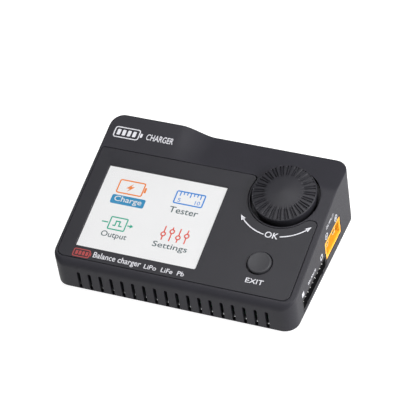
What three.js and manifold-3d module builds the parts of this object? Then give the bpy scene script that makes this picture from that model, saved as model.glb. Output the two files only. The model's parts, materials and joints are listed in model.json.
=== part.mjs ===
// Balance battery charger for remote-control models, in millimetres, +Z up.
// X runs to the right and Y to the rear. The origin is the footprint's centre, on the surface under the feet.
import * as THREE from 'three';
import { mergeVertices } from 'three/addons/utils/BufferGeometryUtils.js';
import Module from 'manifold-3d';

const wasm = await Module();
wasm.setup();

// ---- Driving dimensions -------------------------------------------------------------------------------
const CASE_WIDTH = 98;
const CASE_DEPTH = 67;
const CORNER_RADIUS = 5.4;
const FOOT_HEIGHT = 2;
const FRONT_HEIGHT = 12.8;
const TILT = THREE.MathUtils.degToRad(13.8);
const SEAM_Y = 17.9;
const STRIP_RISE = 0.025;
const HUMP_LEFT_X = -20;
const HUMP_RIGHT_X = -6;
const HUMP_STEPS = 8;
const WALL = 2;
const ROOF = 2;
const PANEL_ROOF = 3.3;
const GAP = 0.3;

const PANEL_LEFT = -47.8;
const PANEL_RIGHT = 46.5;
const PANEL_FRONT = 3;
const PANEL_REAR = 52.9;
const PANEL_EAR_REAR = 38.1;
const PANEL_CORNER = 3;
const PANEL_EAR_CORNER = 1.8;
const PANEL_THICKNESS = 1.5;

const KNOB_X = 30.6;
const KNOB_S = 46.3;
const KNOB_RADIUS = 12.5;
const KNOB_RIM_N = 2.7;
const KNOB_TOP_N = 4.1;
const KNOB_TOP_RADIUS = 1.8;
const KNOB_BORE_RADIUS = 3.1;
const KNOB_TRAVEL = 0.5;
const WELL_RADIUS = 13.3;
const WELL_LIP = 0.7;
const WELL_FLOOR_N = -3.6;
const WELL_FLOOR_THICKNESS = 1.2;
const KNOB_BASE_N = WELL_FLOOR_N + KNOB_TRAVEL + 0.4;
const PANEL_RING_RADIUS = 14.3;
const BUSHING_RADIUS = 3.5;
const ENCODER_WIDTH = 11.8;
const ENCODER_LENGTH = 12;
const ENCODER_HEIGHT = 4.6;
const ROTOR_RADIUS = 4.6;
const CONTROL_BOARD_THICKNESS = 1.2;

const BUTTON_X = 30.7;
const BUTTON_S = 16.3;
const BUTTON_HOLE_RADIUS = 4.9;
const BUTTON_RADIUS = 4.6;
const BUTTON_NECK_RADIUS = 3.4;
const BUTTON_STEM_RADIUS = 1.5;
const BUTTON_TOP_N = 0.9;
const BUTTON_TRAVEL = 0.4;
const PLUNGER_RADIUS = 1.7;
const SWITCH_SIZE = 6;
const SWITCH_HEIGHT = 3.5;

const SCREEN_X = -17.1;
const SCREEN_S = 27;
const SCREEN_WIDTH = 48.96;
const SCREEN_HEIGHT = 36.72;
const WINDOW_MARGIN = 0.15;
const WINDOW_BOTTOM_N = -0.5;
const MODULE_LEFT = -44.2;
const MODULE_RIGHT = 14.6;
const MODULE_FRONT = 5.6;
const MODULE_REAR = 48.4;
const MODULE_THICKNESS = 2.6;

const SLOT_COUNT = 18;
const SLOT_FIRST_X = -38;
const SLOT_PITCH = 4.5;
const SLOT_WIDTH = 1.3;
const SLOT_TOP = FOOT_HEIGHT + 8.6;

const PLATE_THICKNESS = 1.2;
const BOARD_BOTTOM = 4;
const BOARD_THICKNESS = 1.6;
const BOARD_TOP = BOARD_BOTTOM + BOARD_THICKNESS;
const PART_BOTTOM = BOARD_TOP + GAP;

const POWER_LENGTH = 16;
const POWER_HEIGHT = 8.1;
const POWER_DEPTH = 12;
const POWER_Z = 10;
const POWER_PIN_SPACING = 7.2;
const POWER_PIN_RADIUS = 1.75;
const POWER_PIN_RECESS = 1.1;
const POWER_RIM = 1.1;
const POWER_KEY = 1.2;
const POWER_CAVITY_DEPTH = 9;
const OUTPUT_Y = 10.1;
const INPUT_Y = 8;

const BALANCE_PINS = 9;
const BALANCE_PITCH = 2.5;
const BALANCE_LENGTH = 24.9;
const BALANCE_HEIGHT = 5.75;
const BALANCE_DEPTH = 8;
const BALANCE_Y = -10.9;
const BALANCE_Z = 6.5;
const BALANCE_PIN_SIZE = 0.64;
const BALANCE_PIN_RECESS = 0.7;

const USB_Y = -13;
const USB_Z = 9.6;
const USB_WIDTH = 14.4;
const USB_HEIGHT = 7;
const USB_DEPTH = 14;
const USB_TONGUE_THICKNESS = 1.9;

const FAN_X = -33;
const FAN_SIZE = 25;
const FAN_DEPTH = 7;
const FAN_Z = 14.9;
const FAN_BORE_RADIUS = 11.6;
const FAN_HUB_RADIUS = 6.2;
const FAN_BLADES = 7;
const FAN_MOUNT_THICKNESS = 1.2;
const FAN_HOLE_SPACING = 20;
const FAN_SCREW_HEAD_RADIUS = 1.15;
const FAN_SCREW_SHANK_RADIUS = 0.9;
const GRILLE_RADIUS = 10.8;
const GRILLE_ROWS = 5;
const GRILLE_PITCH = 4.3;
const GRILLE_SLOT_HEIGHT = 2.6;
const GRILLE_POST = 1.8;

const SCREW_X = 40.5;
const SCREW_FRONT_Y = -27.2;
const SCREW_REAR_LEFT_Y = 19.6;
const SCREW_REAR_RIGHT_Y = 24.5;
const SCREW_HEAD_RADIUS = 2.4;
const SCREW_SHANK_RADIUS = 1.25;
const SCREW_LENGTH = 8.5;
const SCREW_HOLE_TOP = 11.3;
const BOSS_RADIUS = 3;
const FOOT_X = 38;
const FOOT_FRONT_Y = -18;
const FOOT_REAR_Y = 11;
const FOOT_RADIUS = 5;

// ---- Derived sizes ------------------------------------------------------------------------------------
const HALF_W = CASE_WIDTH / 2;
const HALF_D = CASE_DEPTH / 2;
const SIDE_FACE = HALF_W - 0.1;
const REAR_INNER_Y = HALF_D - WALL;
const SEAM_Z = slopeHeight(SEAM_Y);
const MODULE_TOP_N = -PANEL_THICKNESS - GAP;
const ENCODER_TOP_N = WELL_FLOOR_N - WELL_FLOOR_THICKNESS - GAP;
const ENCODER_BOTTOM_N = ENCODER_TOP_N - ENCODER_HEIGHT;
const CONTROL_BOARD_TOP_N = ENCODER_BOTTOM_N - GAP;
const BELOW_PANEL = -8;
const ABOVE_PANEL = 8;

// ---- Frame of the tilted panel: x to the right, y up the slope, z out of the panel ---------------------
const panelGroup = new THREE.Group();
panelGroup.position.set(0, -HALF_D, FOOT_HEIGHT + FRONT_HEIGHT);
panelGroup.rotation.x = TILT;
panelGroup.updateMatrixWorld(true);

const charger = new THREE.Group();
charger.add(panelGroup);

// ---- Materials ----------------------------------------------------------------------------------------
function finish(color, roughness, metalness = 0) {
  return new THREE.MeshStandardMaterial({ color, roughness, metalness });
}

const CASE_PLASTIC = finish(0x3b3b40, 0.6);
const PANEL_PLASTIC = finish(0x424247, 0.5);
const KNOB_PLASTIC = finish(0x38383d, 0.55);
const BUTTON_PLASTIC = finish(0x55555a, 0.55);
const CLEAR = finish(0xf4f6f8, 0.1);
CLEAR.transparent = true;
CLEAR.opacity = 0.2;
const SCREEN = finish(0xededee, 0.4);
const SHEET_STEEL = finish(0xb8babd, 0.35, 1);
const ALUMINIUM = finish(0x9c9ea2, 0.4, 1);
const BRASS = finish(0xc9a34e, 0.3, 1);
const CONNECTOR_YELLOW = finish(0xf2a32c, 0.5);
const BLACK_PLASTIC = finish(0x17171a, 0.55);
const BOARD_GREEN = finish(0x1d4a33, 0.5);
const COPPER = finish(0xb06a3a, 0.4, 0.8);
const RUBBER = finish(0x1c1c1e, 0.85);
const SLEEVE = finish(0x24303f, 0.4);

// ---- Solids -------------------------------------------------------------------------------------------
function solid(geometry, matrix) {
  const bare = new THREE.BufferGeometry();
  bare.setAttribute('position', geometry.getAttribute('position').clone());
  if (geometry.index) bare.setIndex(geometry.index.clone());
  if (matrix) bare.applyMatrix4(matrix);
  const merged = mergeVertices(bare, 1e-4);
  return new wasm.Manifold(new wasm.Mesh({
    numProp: 3,
    vertProperties: new Float32Array(merged.getAttribute('position').array),
    triVerts: new Uint32Array(merged.index.array),
  }));
}

function geometryOf(manifold) {
  const mesh = manifold.getMesh();
  const geometry = new THREE.BufferGeometry();
  geometry.setAttribute('position', new THREE.BufferAttribute(new Float32Array(mesh.vertProperties), 3));
  geometry.setIndex(new THREE.BufferAttribute(new Uint32Array(mesh.triVerts), 1));
  geometry.computeVertexNormals();
  return geometry;
}

function addMesh(group, name, shape, material) {
  const geometry = shape instanceof THREE.BufferGeometry ? shape : geometryOf(shape);
  const mesh = new THREE.Mesh(geometry, material);
  mesh.name = name;
  group.add(mesh);
  return mesh;
}

function box(x0, x1, y0, y1, z0, z1) {
  const geometry = new THREE.BoxGeometry(x1 - x0, y1 - y0, z1 - z0);
  return geometry.translate((x0 + x1) / 2, (y0 + y1) / 2, (z0 + z1) / 2);
}

function cylinderZ(x, y, radius, z0, z1, sides = 32) {
  const geometry = new THREE.CylinderGeometry(radius, radius, z1 - z0, sides);
  return geometry.rotateX(Math.PI / 2).translate(x, y, (z0 + z1) / 2);
}

function cylinderY(x, z, radius, y0, y1, sides = 32) {
  return new THREE.CylinderGeometry(radius, radius, y1 - y0, sides).translate(x, (y0 + y1) / 2, z);
}

function cylinderX(y, z, radius, x0, x1, sides = 24) {
  return new THREE.CylinderGeometry(radius, radius, x1 - x0, sides).rotateZ(Math.PI / 2)
    .translate((x0 + x1) / 2, y, z);
}

function roundedRectangle(x0, x1, y0, y1, radius) {
  const shape = new THREE.Shape();
  shape.moveTo(x0 + radius, y0);
  shape.lineTo(x1 - radius, y0);
  shape.absarc(x1 - radius, y0 + radius, radius, -Math.PI / 2, 0);
  shape.lineTo(x1, y1 - radius);
  shape.absarc(x1 - radius, y1 - radius, radius, 0, Math.PI / 2);
  shape.lineTo(x0 + radius, y1);
  shape.absarc(x0 + radius, y1 - radius, radius, Math.PI / 2, Math.PI);
  shape.lineTo(x0, y0 + radius);
  shape.absarc(x0 + radius, y0 + radius, radius, Math.PI, Math.PI * 1.5);
  return shape;
}

function extrude(shape, z0, z1, curveSegments = 6) {
  return new THREE.ExtrudeGeometry(shape, { depth: z1 - z0, bevelEnabled: false, curveSegments })
    .translate(0, 0, z0);
}

// ---- The case's top surface ---------------------------------------------------------------------------
function slopeHeight(y) {
  return FOOT_HEIGHT + FRONT_HEIGHT + (y + CASE_DEPTH / 2) * Math.tan(TILT);
}

function humpShare(x) {
  return 1 - THREE.MathUtils.smoothstep(x, HUMP_LEFT_X, HUMP_RIGHT_X);
}

function topHeight(x, y) {
  if (y <= SEAM_Y) return slopeHeight(y);
  const strip = SEAM_Z + (y - SEAM_Y) * STRIP_RISE;
  return strip + humpShare(x) * (slopeHeight(y) - strip);
}

// A block with the case's roof line: columns are close together across the hump's shoulder.
function roofedBlock(inset, drop, frontY, bottom) {
  const columns = HUMP_STEPS + 2;
  const geometry = new THREE.BoxGeometry(1, 1, 1, columns, 2, 1);
  const position = geometry.getAttribute('position');
  for (let i = 0; i < position.count; i += 1) {
    const column = Math.round((position.getX(i) + 0.5) * columns);
    const row = Math.round((position.getY(i) + 0.5) * 2);
    const share = (column - 1) / HUMP_STEPS;
    let x = THREE.MathUtils.lerp(HUMP_LEFT_X, HUMP_RIGHT_X, share);
    if (column === 0) x = inset - HALF_W;
    if (column === columns) x = HALF_W - inset;
    const y = [frontY, Math.max(SEAM_Y, frontY + GAP), HALF_D - inset][row];
    const z = position.getZ(i) > 0 ? topHeight(x, y) - drop : bottom;
    position.setXYZ(i, x, y, z);
  }
  return solid(geometry);
}

function footprint(inset, z0, z1) {
  const radius = CORNER_RADIUS - inset;
  const shape = roundedRectangle(inset - HALF_W, HALF_W - inset, inset - HALF_D, HALF_D - inset, radius);
  return solid(extrude(shape, z0, z1));
}

// ---- Front panel outline: it steps around the knob's well ----------------------------------------------
function panelOutline(grow) {
  const left = PANEL_LEFT - grow;
  const right = PANEL_RIGHT + grow;
  const front = PANEL_FRONT - grow;
  const rear = PANEL_REAR + grow;
  const ear = PANEL_EAR_REAR + grow;
  const ring = PANEL_RING_RADIUS - grow;
  const earAngle = Math.asin((ear - KNOB_S) / ring);
  const rearAngle = Math.PI - Math.asin((rear - KNOB_S) / ring);
  const ease = 0.22;
  const rearX = KNOB_X + ring * Math.cos(rearAngle);
  const shape = new THREE.Shape();
  shape.moveTo(left + PANEL_CORNER, front);
  shape.lineTo(right - PANEL_CORNER, front);
  shape.absarc(right - PANEL_CORNER, front + PANEL_CORNER, PANEL_CORNER, -Math.PI / 2, 0);
  shape.lineTo(right, ear - PANEL_EAR_CORNER);
  shape.absarc(right - PANEL_EAR_CORNER, ear - PANEL_EAR_CORNER, PANEL_EAR_CORNER, 0, Math.PI / 2);
  shape.lineTo(KNOB_X + ring * Math.cos(earAngle), ear);
  shape.absarc(KNOB_X, KNOB_S, ring, earAngle, rearAngle - 2 * Math.PI + ease, true);
  shape.quadraticCurveTo(rearX, rear, rearX - ease * ring, rear);
  shape.lineTo(left, rear);
  shape.lineTo(left, front + PANEL_CORNER);
  shape.absarc(left + PANEL_CORNER, front + PANEL_CORNER, PANEL_CORNER, Math.PI, Math.PI * 1.5);
  return shape;
}

function holeOf(shape) {
  const path = new THREE.Path();
  path.curves = shape.curves;
  path.currentPoint.copy(shape.currentPoint);
  return path;
}

function windowOutline(margin) {
  const halfW = SCREEN_WIDTH / 2 + margin;
  const halfH = SCREEN_HEIGHT / 2 + margin;
  return roundedRectangle(SCREEN_X - halfW, SCREEN_X + halfW, SCREEN_S - halfH, SCREEN_S + halfH, 0.4);
}

function makeFrontPanel() {
  const shape = panelOutline(0);
  shape.holes.push(holeOf(windowOutline(2 * WINDOW_MARGIN)));
  shape.holes.push(holeOf(new THREE.Shape().absarc(BUTTON_X, BUTTON_S, BUTTON_HOLE_RADIUS, 0, Math.PI * 2)));
  addMesh(panelGroup, 'front_panel', extrude(shape, -PANEL_THICKNESS, 0, 12), PANEL_PLASTIC);
}

// ---- Case shell ---------------------------------------------------------------------------------------
const OVERRUN = 1;
const PORT_GAP = 0.2;
const TALL = 40;

function ventSlot(x) {
  const half = SLOT_WIDTH / 2;
  const shape = new THREE.Shape();
  shape.moveTo(x - half, FOOT_HEIGHT - OVERRUN);
  shape.lineTo(x + half, FOOT_HEIGHT - OVERRUN);
  shape.lineTo(x + half, SLOT_TOP - half);
  shape.absarc(x, SLOT_TOP - half, half, 0, Math.PI);
  const reach = WALL + OVERRUN;
  return extrude(shape, 0, reach + OVERRUN).rotateX(Math.PI / 2).translate(0, reach - HALF_D, 0);
}

function fanGrille() {
  const front = REAR_INNER_Y - OVERRUN;
  const rear = HALF_D + OVERRUN;
  const throat = solid(cylinderY(FAN_X, FAN_Z, GRILLE_RADIUS, front, rear, 40));
  const left = FAN_X - GRILLE_RADIUS - OVERRUN;
  const right = FAN_X + GRILLE_RADIUS + OVERRUN;
  let slots = null;
  for (let i = 0; i < GRILLE_ROWS; i += 1) {
    const z = FAN_Z + (i - (GRILLE_ROWS - 1) / 2) * GRILLE_PITCH;
    const half = GRILLE_SLOT_HEIGHT / 2;
    const slot = solid(box(left, right, front, rear, z - half, z + half));
    slots = slots ? slots.add(slot) : slot;
  }
  const post = solid(box(FAN_X - GRILLE_POST / 2, FAN_X + GRILLE_POST / 2, front, rear, 0, TALL));
  return throat.intersect(slots).subtract(post);
}

function fanBay() {
  const half = FAN_SIZE / 2 + GAP;
  const front = REAR_INNER_Y - FAN_DEPTH - 1;
  return box(FAN_X - half, FAN_X + half, front, REAR_INNER_Y, FOOT_HEIGHT - OVERRUN, FAN_Z + half);
}

// An opening through a side wall for a socket's mouth; side is 1 on the right and -1 on the left.
function portCutter(side, y, z, width, height) {
  const inner = side * (HALF_W - WALL - OVERRUN);
  const outer = side * (HALF_W + OVERRUN);
  const halfY = width / 2 + PORT_GAP;
  const halfZ = height / 2 + PORT_GAP;
  return box(Math.min(inner, outer), Math.max(inner, outer), y - halfY, y + halfY, z - halfZ, z + halfZ);
}

function caseCutters() {
  const cutters = [fanGrille(), solid(fanBay())];
  for (let i = 0; i < SLOT_COUNT; i += 1) {
    cutters.push(solid(ventSlot(SLOT_FIRST_X + i * SLOT_PITCH)));
  }
  cutters.push(solid(portCutter(1, OUTPUT_Y, POWER_Z, POWER_LENGTH, POWER_HEIGHT)));
  cutters.push(solid(portCutter(-1, INPUT_Y, POWER_Z, POWER_LENGTH, POWER_HEIGHT)));
  cutters.push(solid(portCutter(1, BALANCE_Y, BALANCE_Z, BALANCE_LENGTH, BALANCE_HEIGHT)));
  cutters.push(solid(portCutter(-1, USB_Y, USB_Z, USB_WIDTH, USB_HEIGHT)));
  for (const [x, z] of fanScrewPlaces()) {
    const radius = FAN_SCREW_HEAD_RADIUS + 0.15;
    cutters.push(solid(cylinderY(x, z, radius, REAR_INNER_Y - OVERRUN, HALF_D + OVERRUN, 16)));
  }
  return cutters;
}

function fanScrewPlaces() {
  const half = FAN_HOLE_SPACING / 2;
  return [[FAN_X - half, FAN_Z - half], [FAN_X + half, FAN_Z + half]];
}

function screwPlaces() {
  return [
    [-SCREW_X, SCREW_FRONT_Y],
    [SCREW_X, SCREW_FRONT_Y],
    [-SCREW_X, SCREW_REAR_LEFT_Y],
    [SCREW_X, SCREW_REAR_RIGHT_Y],
  ];
}

function makeCaseShell() {
  const tilt = panelGroup.matrixWorld;
  const outer = roofedBlock(0, 0, -HALF_D, FOOT_HEIGHT).intersect(footprint(0, FOOT_HEIGHT, TALL));
  const openBottom = FOOT_HEIGHT - OVERRUN;
  const hollow = roofedBlock(WALL, PANEL_ROOF / Math.cos(TILT), WALL - HALF_D, openBottom)
    .add(roofedBlock(WALL, ROOF, SEAM_Y + 2, openBottom))
    .intersect(footprint(WALL, openBottom, TALL));
  let shell = outer.subtract(hollow);
  for (const [x, y] of screwPlaces()) {
    shell = shell.add(solid(cylinderZ(x, y, BOSS_RADIUS, BOARD_BOTTOM - GAP, TALL, 24)).intersect(outer));
  }
  const recess = solid(extrude(panelOutline(GAP), -PANEL_THICKNESS - GAP, ABOVE_PANEL, 12), tilt);
  const displayDoor = solid(box(MODULE_LEFT - 0.4, MODULE_RIGHT + 0.4, MODULE_FRONT - 0.4, MODULE_REAR + 0.4,
    BELOW_PANEL, OVERRUN), tilt);
  const buttonDoor = solid(cylinderZ(BUTTON_X, BUTTON_S, BUTTON_HOLE_RADIUS + 1.5, BELOW_PANEL, OVERRUN), tilt);
  shell = shell.subtract(recess).subtract(displayDoor).subtract(buttonDoor);
  const wellBottom = WELL_FLOOR_N - WELL_FLOOR_THICKNESS;
  const well = solid(cylinderZ(KNOB_X, KNOB_S, WELL_RADIUS + WELL_LIP, wellBottom, ABOVE_PANEL, 64), tilt);
  const wellHole = solid(cylinderZ(KNOB_X, KNOB_S, WELL_RADIUS, WELL_FLOOR_N, ABOVE_PANEL + OVERRUN, 64), tilt);
  const bushingHole = solid(cylinderZ(KNOB_X, KNOB_S, BUSHING_RADIUS + GAP, wellBottom - 2, 0, 24), tilt);
  shell = shell.add(well.intersect(outer)).subtract(wellHole).subtract(bushingHole);
  for (const cutter of caseCutters()) {
    shell = shell.subtract(cutter);
  }
  for (const [x, y] of screwPlaces()) {
    shell = shell.subtract(solid(cylinderZ(x, y, SCREW_SHANK_RADIUS + 0.2, 0, SCREW_HOLE_TOP, 16)));
  }
  addMesh(charger, 'case_shell', shell, CASE_PLASTIC);
}

// ---- Bottom plate, feet and screws ---------------------------------------------------------------------
function makeBottomPlate() {
  const plateTop = FOOT_HEIGHT + PLATE_THICKNESS;
  let plate = footprint(WALL + GAP, FOOT_HEIGHT, plateTop);
  const halfFan = FAN_SIZE / 2 + 2 * GAP;
  const notchFront = REAR_INNER_Y - FAN_DEPTH - 1.5;
  const fanNotch = box(-HALF_W, FAN_X + halfFan, notchFront, HALF_D, 0, plateTop + OVERRUN);
  plate = plate.subtract(solid(fanNotch));
  for (const [x, y] of screwPlaces()) {
    plate = plate.subtract(solid(cylinderZ(x, y, SCREW_HEAD_RADIUS + GAP, 0, plateTop + OVERRUN, 24)));
  }
  addMesh(charger, 'bottom_plate', plate, ALUMINIUM);
}

function makeFeet() {
  const places = {
    front_left: [-1, FOOT_FRONT_Y],
    front_right: [1, FOOT_FRONT_Y],
    rear_left: [-1, FOOT_REAR_Y],
    rear_right: [1, FOOT_REAR_Y],
  };
  const height = FOOT_HEIGHT - GAP;
  for (const [name, [side, y]] of Object.entries(places)) {
    const foot = new THREE.CylinderGeometry(FOOT_RADIUS, FOOT_RADIUS - 0.5, height, 32);
    foot.rotateX(Math.PI / 2).translate(side * FOOT_X, y, height / 2);
    addMesh(charger, `foot_${name}`, foot, RUBBER);
  }
}

function screwProfile(headRadius, headHeight, shankRadius, length) {
  return new THREE.LatheGeometry([
    new THREE.Vector2(0, 0),
    new THREE.Vector2(headRadius, 0),
    new THREE.Vector2(headRadius, headHeight),
    new THREE.Vector2(shankRadius, headHeight),
    new THREE.Vector2(shankRadius, length),
    new THREE.Vector2(0, length),
  ], 20);
}

function makeCaseScrews() {
  const headHeight = 1.2;
  const sunk = 0.1;
  screwPlaces().forEach(([x, y], index) => {
    const screw = screwProfile(SCREW_HEAD_RADIUS, headHeight, SCREW_SHANK_RADIUS, SCREW_LENGTH);
    screw.rotateX(Math.PI / 2).translate(x, y, FOOT_HEIGHT + sunk);
    addMesh(charger, `case_screw_${index + 1}`, screw, SHEET_STEEL);
  });
}

// ---- Display ------------------------------------------------------------------------------------------
function makeDisplay() {
  addMesh(panelGroup, 'display_window', extrude(windowOutline(WINDOW_MARGIN), WINDOW_BOTTOM_N, 0, 3), CLEAR);
  const halfW = SCREEN_WIDTH / 2;
  const halfH = SCREEN_HEIGHT / 2;
  const glass = box(SCREEN_X - halfW, SCREEN_X + halfW, SCREEN_S - halfH, SCREEN_S + halfH,
    MODULE_TOP_N + 0.1, WINDOW_BOTTOM_N - 0.1);
  addMesh(panelGroup, 'display_glass', glass, SCREEN);
  const module = box(MODULE_LEFT, MODULE_RIGHT, MODULE_FRONT, MODULE_REAR,
    MODULE_TOP_N - MODULE_THICKNESS, MODULE_TOP_N);
  addMesh(panelGroup, 'display_module', module, SHEET_STEEL);
}

// ---- Knob and rotary encoder --------------------------------------------------------------------------
function makeKnob() {
  const edge = 0.5;
  const boreTop = KNOB_TOP_N - 1.5;
  const profile = [
    [KNOB_BORE_RADIUS, KNOB_BASE_N],
    [KNOB_RADIUS, KNOB_BASE_N],
    [KNOB_RADIUS, KNOB_RIM_N - edge],
    [KNOB_RADIUS - 0.4, KNOB_RIM_N],
    [KNOB_TOP_RADIUS, KNOB_TOP_N],
    [0, KNOB_TOP_N],
    [0, boreTop],
    [KNOB_BORE_RADIUS, boreTop],
    [KNOB_BORE_RADIUS, KNOB_BASE_N],
  ].map(([radius, n]) => new THREE.Vector2(radius, n));
  const knob = new THREE.LatheGeometry(profile, 48).rotateX(Math.PI / 2).translate(KNOB_X, KNOB_S, 0);
  addMesh(panelGroup, 'knob', knob, KNOB_PLASTIC);
}

// The shaft slides through the rotor when the knob is pressed, and turns it.
function makeEncoder() {
  const shaftRadius = KNOB_BORE_RADIUS - 0.2;
  const footRadius = 1.6;
  const rotorTop = ENCODER_TOP_N - 1.1;
  const cavityFloor = ENCODER_BOTTOM_N + 0.8;
  const shaftFoot = ENCODER_BOTTOM_N + 1.5;
  const shaft = solid(cylinderZ(KNOB_X, KNOB_S, shaftRadius, rotorTop + GAP, KNOB_TOP_N - 1.8, 24))
    .add(solid(cylinderZ(KNOB_X, KNOB_S, footRadius, shaftFoot, rotorTop + OVERRUN, 16)));
  addMesh(panelGroup, 'encoder_shaft', shaft, SHEET_STEEL);
  const rotor = solid(cylinderZ(KNOB_X, KNOB_S, ROTOR_RADIUS, cavityFloor + 0.8, rotorTop - 0.4, 32))
    .subtract(solid(cylinderZ(KNOB_X, KNOB_S, footRadius + 0.1, -TALL, TALL, 16)));
  addMesh(panelGroup, 'encoder_rotor', rotor, BLACK_PLASTIC);
  const halfX = ENCODER_WIDTH / 2;
  const halfS = ENCODER_LENGTH / 2;
  const can = solid(box(KNOB_X - halfX, KNOB_X + halfX, KNOB_S - halfS, KNOB_S + halfS,
    ENCODER_BOTTOM_N, ENCODER_TOP_N))
    .add(solid(cylinderZ(KNOB_X, KNOB_S, BUSHING_RADIUS, ENCODER_TOP_N - OVERRUN, WELL_FLOOR_N + 0.1, 32)))
    .subtract(solid(cylinderZ(KNOB_X, KNOB_S, ROTOR_RADIUS + 0.4, cavityFloor, rotorTop - 0.1, 32)))
    .subtract(solid(cylinderZ(KNOB_X, KNOB_S, shaftRadius + 0.1, cavityFloor + 0.2, TALL, 24)));
  addMesh(panelGroup, 'encoder_body', can, SHEET_STEEL);
}

// ---- Exit button and its switch -----------------------------------------------------------------------
function makeExitButton() {
  const switchTop = CONTROL_BOARD_TOP_N + GAP + SWITCH_HEIGHT;
  const switchBottom = switchTop - SWITCH_HEIGHT;
  const plungerTop = switchTop + 0.9;
  const plungerBottom = switchTop - 1.3 + BUTTON_TRAVEL;
  const flangeBottom = -2.9;
  const flangeTop = -1.9;
  const capBottom = -1.4;
  const at = (radius, low, high, sides) => solid(cylinderZ(BUTTON_X, BUTTON_S, radius, low, high, sides));
  const cap = at(BUTTON_RADIUS, capBottom, BUTTON_TOP_N, 40)
    .add(at(BUTTON_HOLE_RADIUS + 0.7, flangeBottom, flangeTop, 32))
    .add(at(BUTTON_NECK_RADIUS, flangeTop - 0.6, capBottom + 0.4, 24))
    .add(at(BUTTON_STEM_RADIUS, plungerTop + 0.1, flangeBottom + 0.5, 16));
  addMesh(panelGroup, 'exit_button', cap, BUTTON_PLASTIC);
  addMesh(panelGroup, 'exit_switch_plunger', at(PLUNGER_RADIUS, plungerBottom, plungerTop, 20), BLACK_PLASTIC);
  const half = SWITCH_SIZE / 2;
  const body = solid(box(BUTTON_X - half, BUTTON_X + half, BUTTON_S - half, BUTTON_S + half,
    switchBottom, switchTop)).subtract(at(PLUNGER_RADIUS + 0.2, switchTop - 1.6, switchTop + OVERRUN, 20));
  addMesh(panelGroup, 'exit_switch', body, SHEET_STEEL);
}

function makeControlBoard() {
  const left = 15.5;
  const right = 36.7;
  const front = 10;
  const rear = 53;
  const bottom = CONTROL_BOARD_TOP_N - CONTROL_BOARD_THICKNESS;
  const board = box(left, right, front, rear, bottom, CONTROL_BOARD_TOP_N);
  addMesh(panelGroup, 'control_board', board, BOARD_GREEN);
}

// ---- Sockets on the sides -----------------------------------------------------------------------------
// Turns a shape drawn in its own x, y into the Y, Z plane, extruded along +X.
function alongX(geometry) {
  return geometry.applyMatrix4(new THREE.Matrix4().makeBasis(
    new THREE.Vector3(0, 1, 0),
    new THREE.Vector3(0, 0, 1),
    new THREE.Vector3(1, 0, 0),
  ));
}

// The cavity has cut corners at one end, so that a plug goes in one way round only.
function powerCavity() {
  const y = POWER_LENGTH / 2 - POWER_RIM;
  const z = POWER_HEIGHT / 2 - POWER_RIM;
  const shape = new THREE.Shape();
  shape.moveTo(-y, z - POWER_KEY);
  shape.lineTo(-y, POWER_KEY - z);
  shape.lineTo(POWER_KEY - y, -z);
  shape.lineTo(y, -z);
  shape.lineTo(y, z);
  shape.lineTo(POWER_KEY - y, z);
  return shape;
}

// Drawn on the right-hand side, with its mouth on +X, and turned round for the left.
function makePowerSocket(name, side, y) {
  const socket = new THREE.Group();
  socket.position.set(0, y, POWER_Z);
  if (side < 0) socket.rotation.z = Math.PI;
  charger.add(socket);
  const mouth = SIDE_FACE;
  const rear = mouth - POWER_DEPTH;
  const halfY = POWER_LENGTH / 2;
  const halfZ = POWER_HEIGHT / 2;
  const tail = 2.5;
  const pinWall = 0.7;
  const boreDepth = 8;
  let housing = solid(box(rear, mouth, -halfY, halfY, -halfZ, halfZ))
    .subtract(solid(alongX(extrude(powerCavity(), mouth - POWER_CAVITY_DEPTH, mouth + OVERRUN))));
  const pins = { front: -POWER_PIN_SPACING / 2, rear: POWER_PIN_SPACING / 2 };
  for (const pinY of Object.values(pins)) {
    housing = housing.subtract(solid(cylinderX(pinY, 0, POWER_PIN_RADIUS + 0.05, rear - OVERRUN, mouth, 20)));
  }
  addMesh(socket, `${name}_socket`, housing, CONNECTOR_YELLOW);
  for (const [end, pinY] of Object.entries(pins)) {
    const pin = solid(cylinderX(pinY, 0, POWER_PIN_RADIUS, rear - tail, mouth - POWER_PIN_RECESS, 20))
      .subtract(solid(cylinderX(pinY, 0, POWER_PIN_RADIUS - pinWall, mouth - boreDepth, mouth, 16)));
    addMesh(socket, `${name}_pin_${end}`, pin, BRASS);
  }
}

function makeBalanceHeader() {
  const mouth = SIDE_FACE;
  const rear = mouth - BALANCE_DEPTH;
  const rim = 0.8;
  const floor = 1.6;
  const pinTail = 3;
  const pinHalf = BALANCE_PIN_SIZE / 2;
  const halfY = BALANCE_LENGTH / 2;
  const halfZ = BALANCE_HEIGHT / 2;
  const block = box(rear, mouth, BALANCE_Y - halfY, BALANCE_Y + halfY, BALANCE_Z - halfZ, BALANCE_Z + halfZ);
  let housing = solid(block)
    .subtract(solid(box(rear + floor, mouth + OVERRUN, BALANCE_Y - halfY + rim, BALANCE_Y + halfY - rim,
      BALANCE_Z - halfZ + rim, BALANCE_Z + halfZ - rim)));
  for (let i = 0; i < BALANCE_PINS; i += 1) {
    const y = BALANCE_Y + (i - (BALANCE_PINS - 1) / 2) * BALANCE_PITCH;
    const hole = pinHalf + 0.05;
    const passage = box(rear - OVERRUN, mouth, y - hole, y + hole, BALANCE_Z - hole, BALANCE_Z + hole);
    housing = housing.subtract(solid(passage));
    const pin = box(rear - pinTail, mouth - BALANCE_PIN_RECESS, y - pinHalf, y + pinHalf,
      BALANCE_Z - pinHalf, BALANCE_Z + pinHalf);
    addMesh(charger, `balance_pin_${i + 1}`, pin, SHEET_STEEL);
  }
  addMesh(charger, 'balance_header', housing, BLACK_PLASTIC);
}

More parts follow.
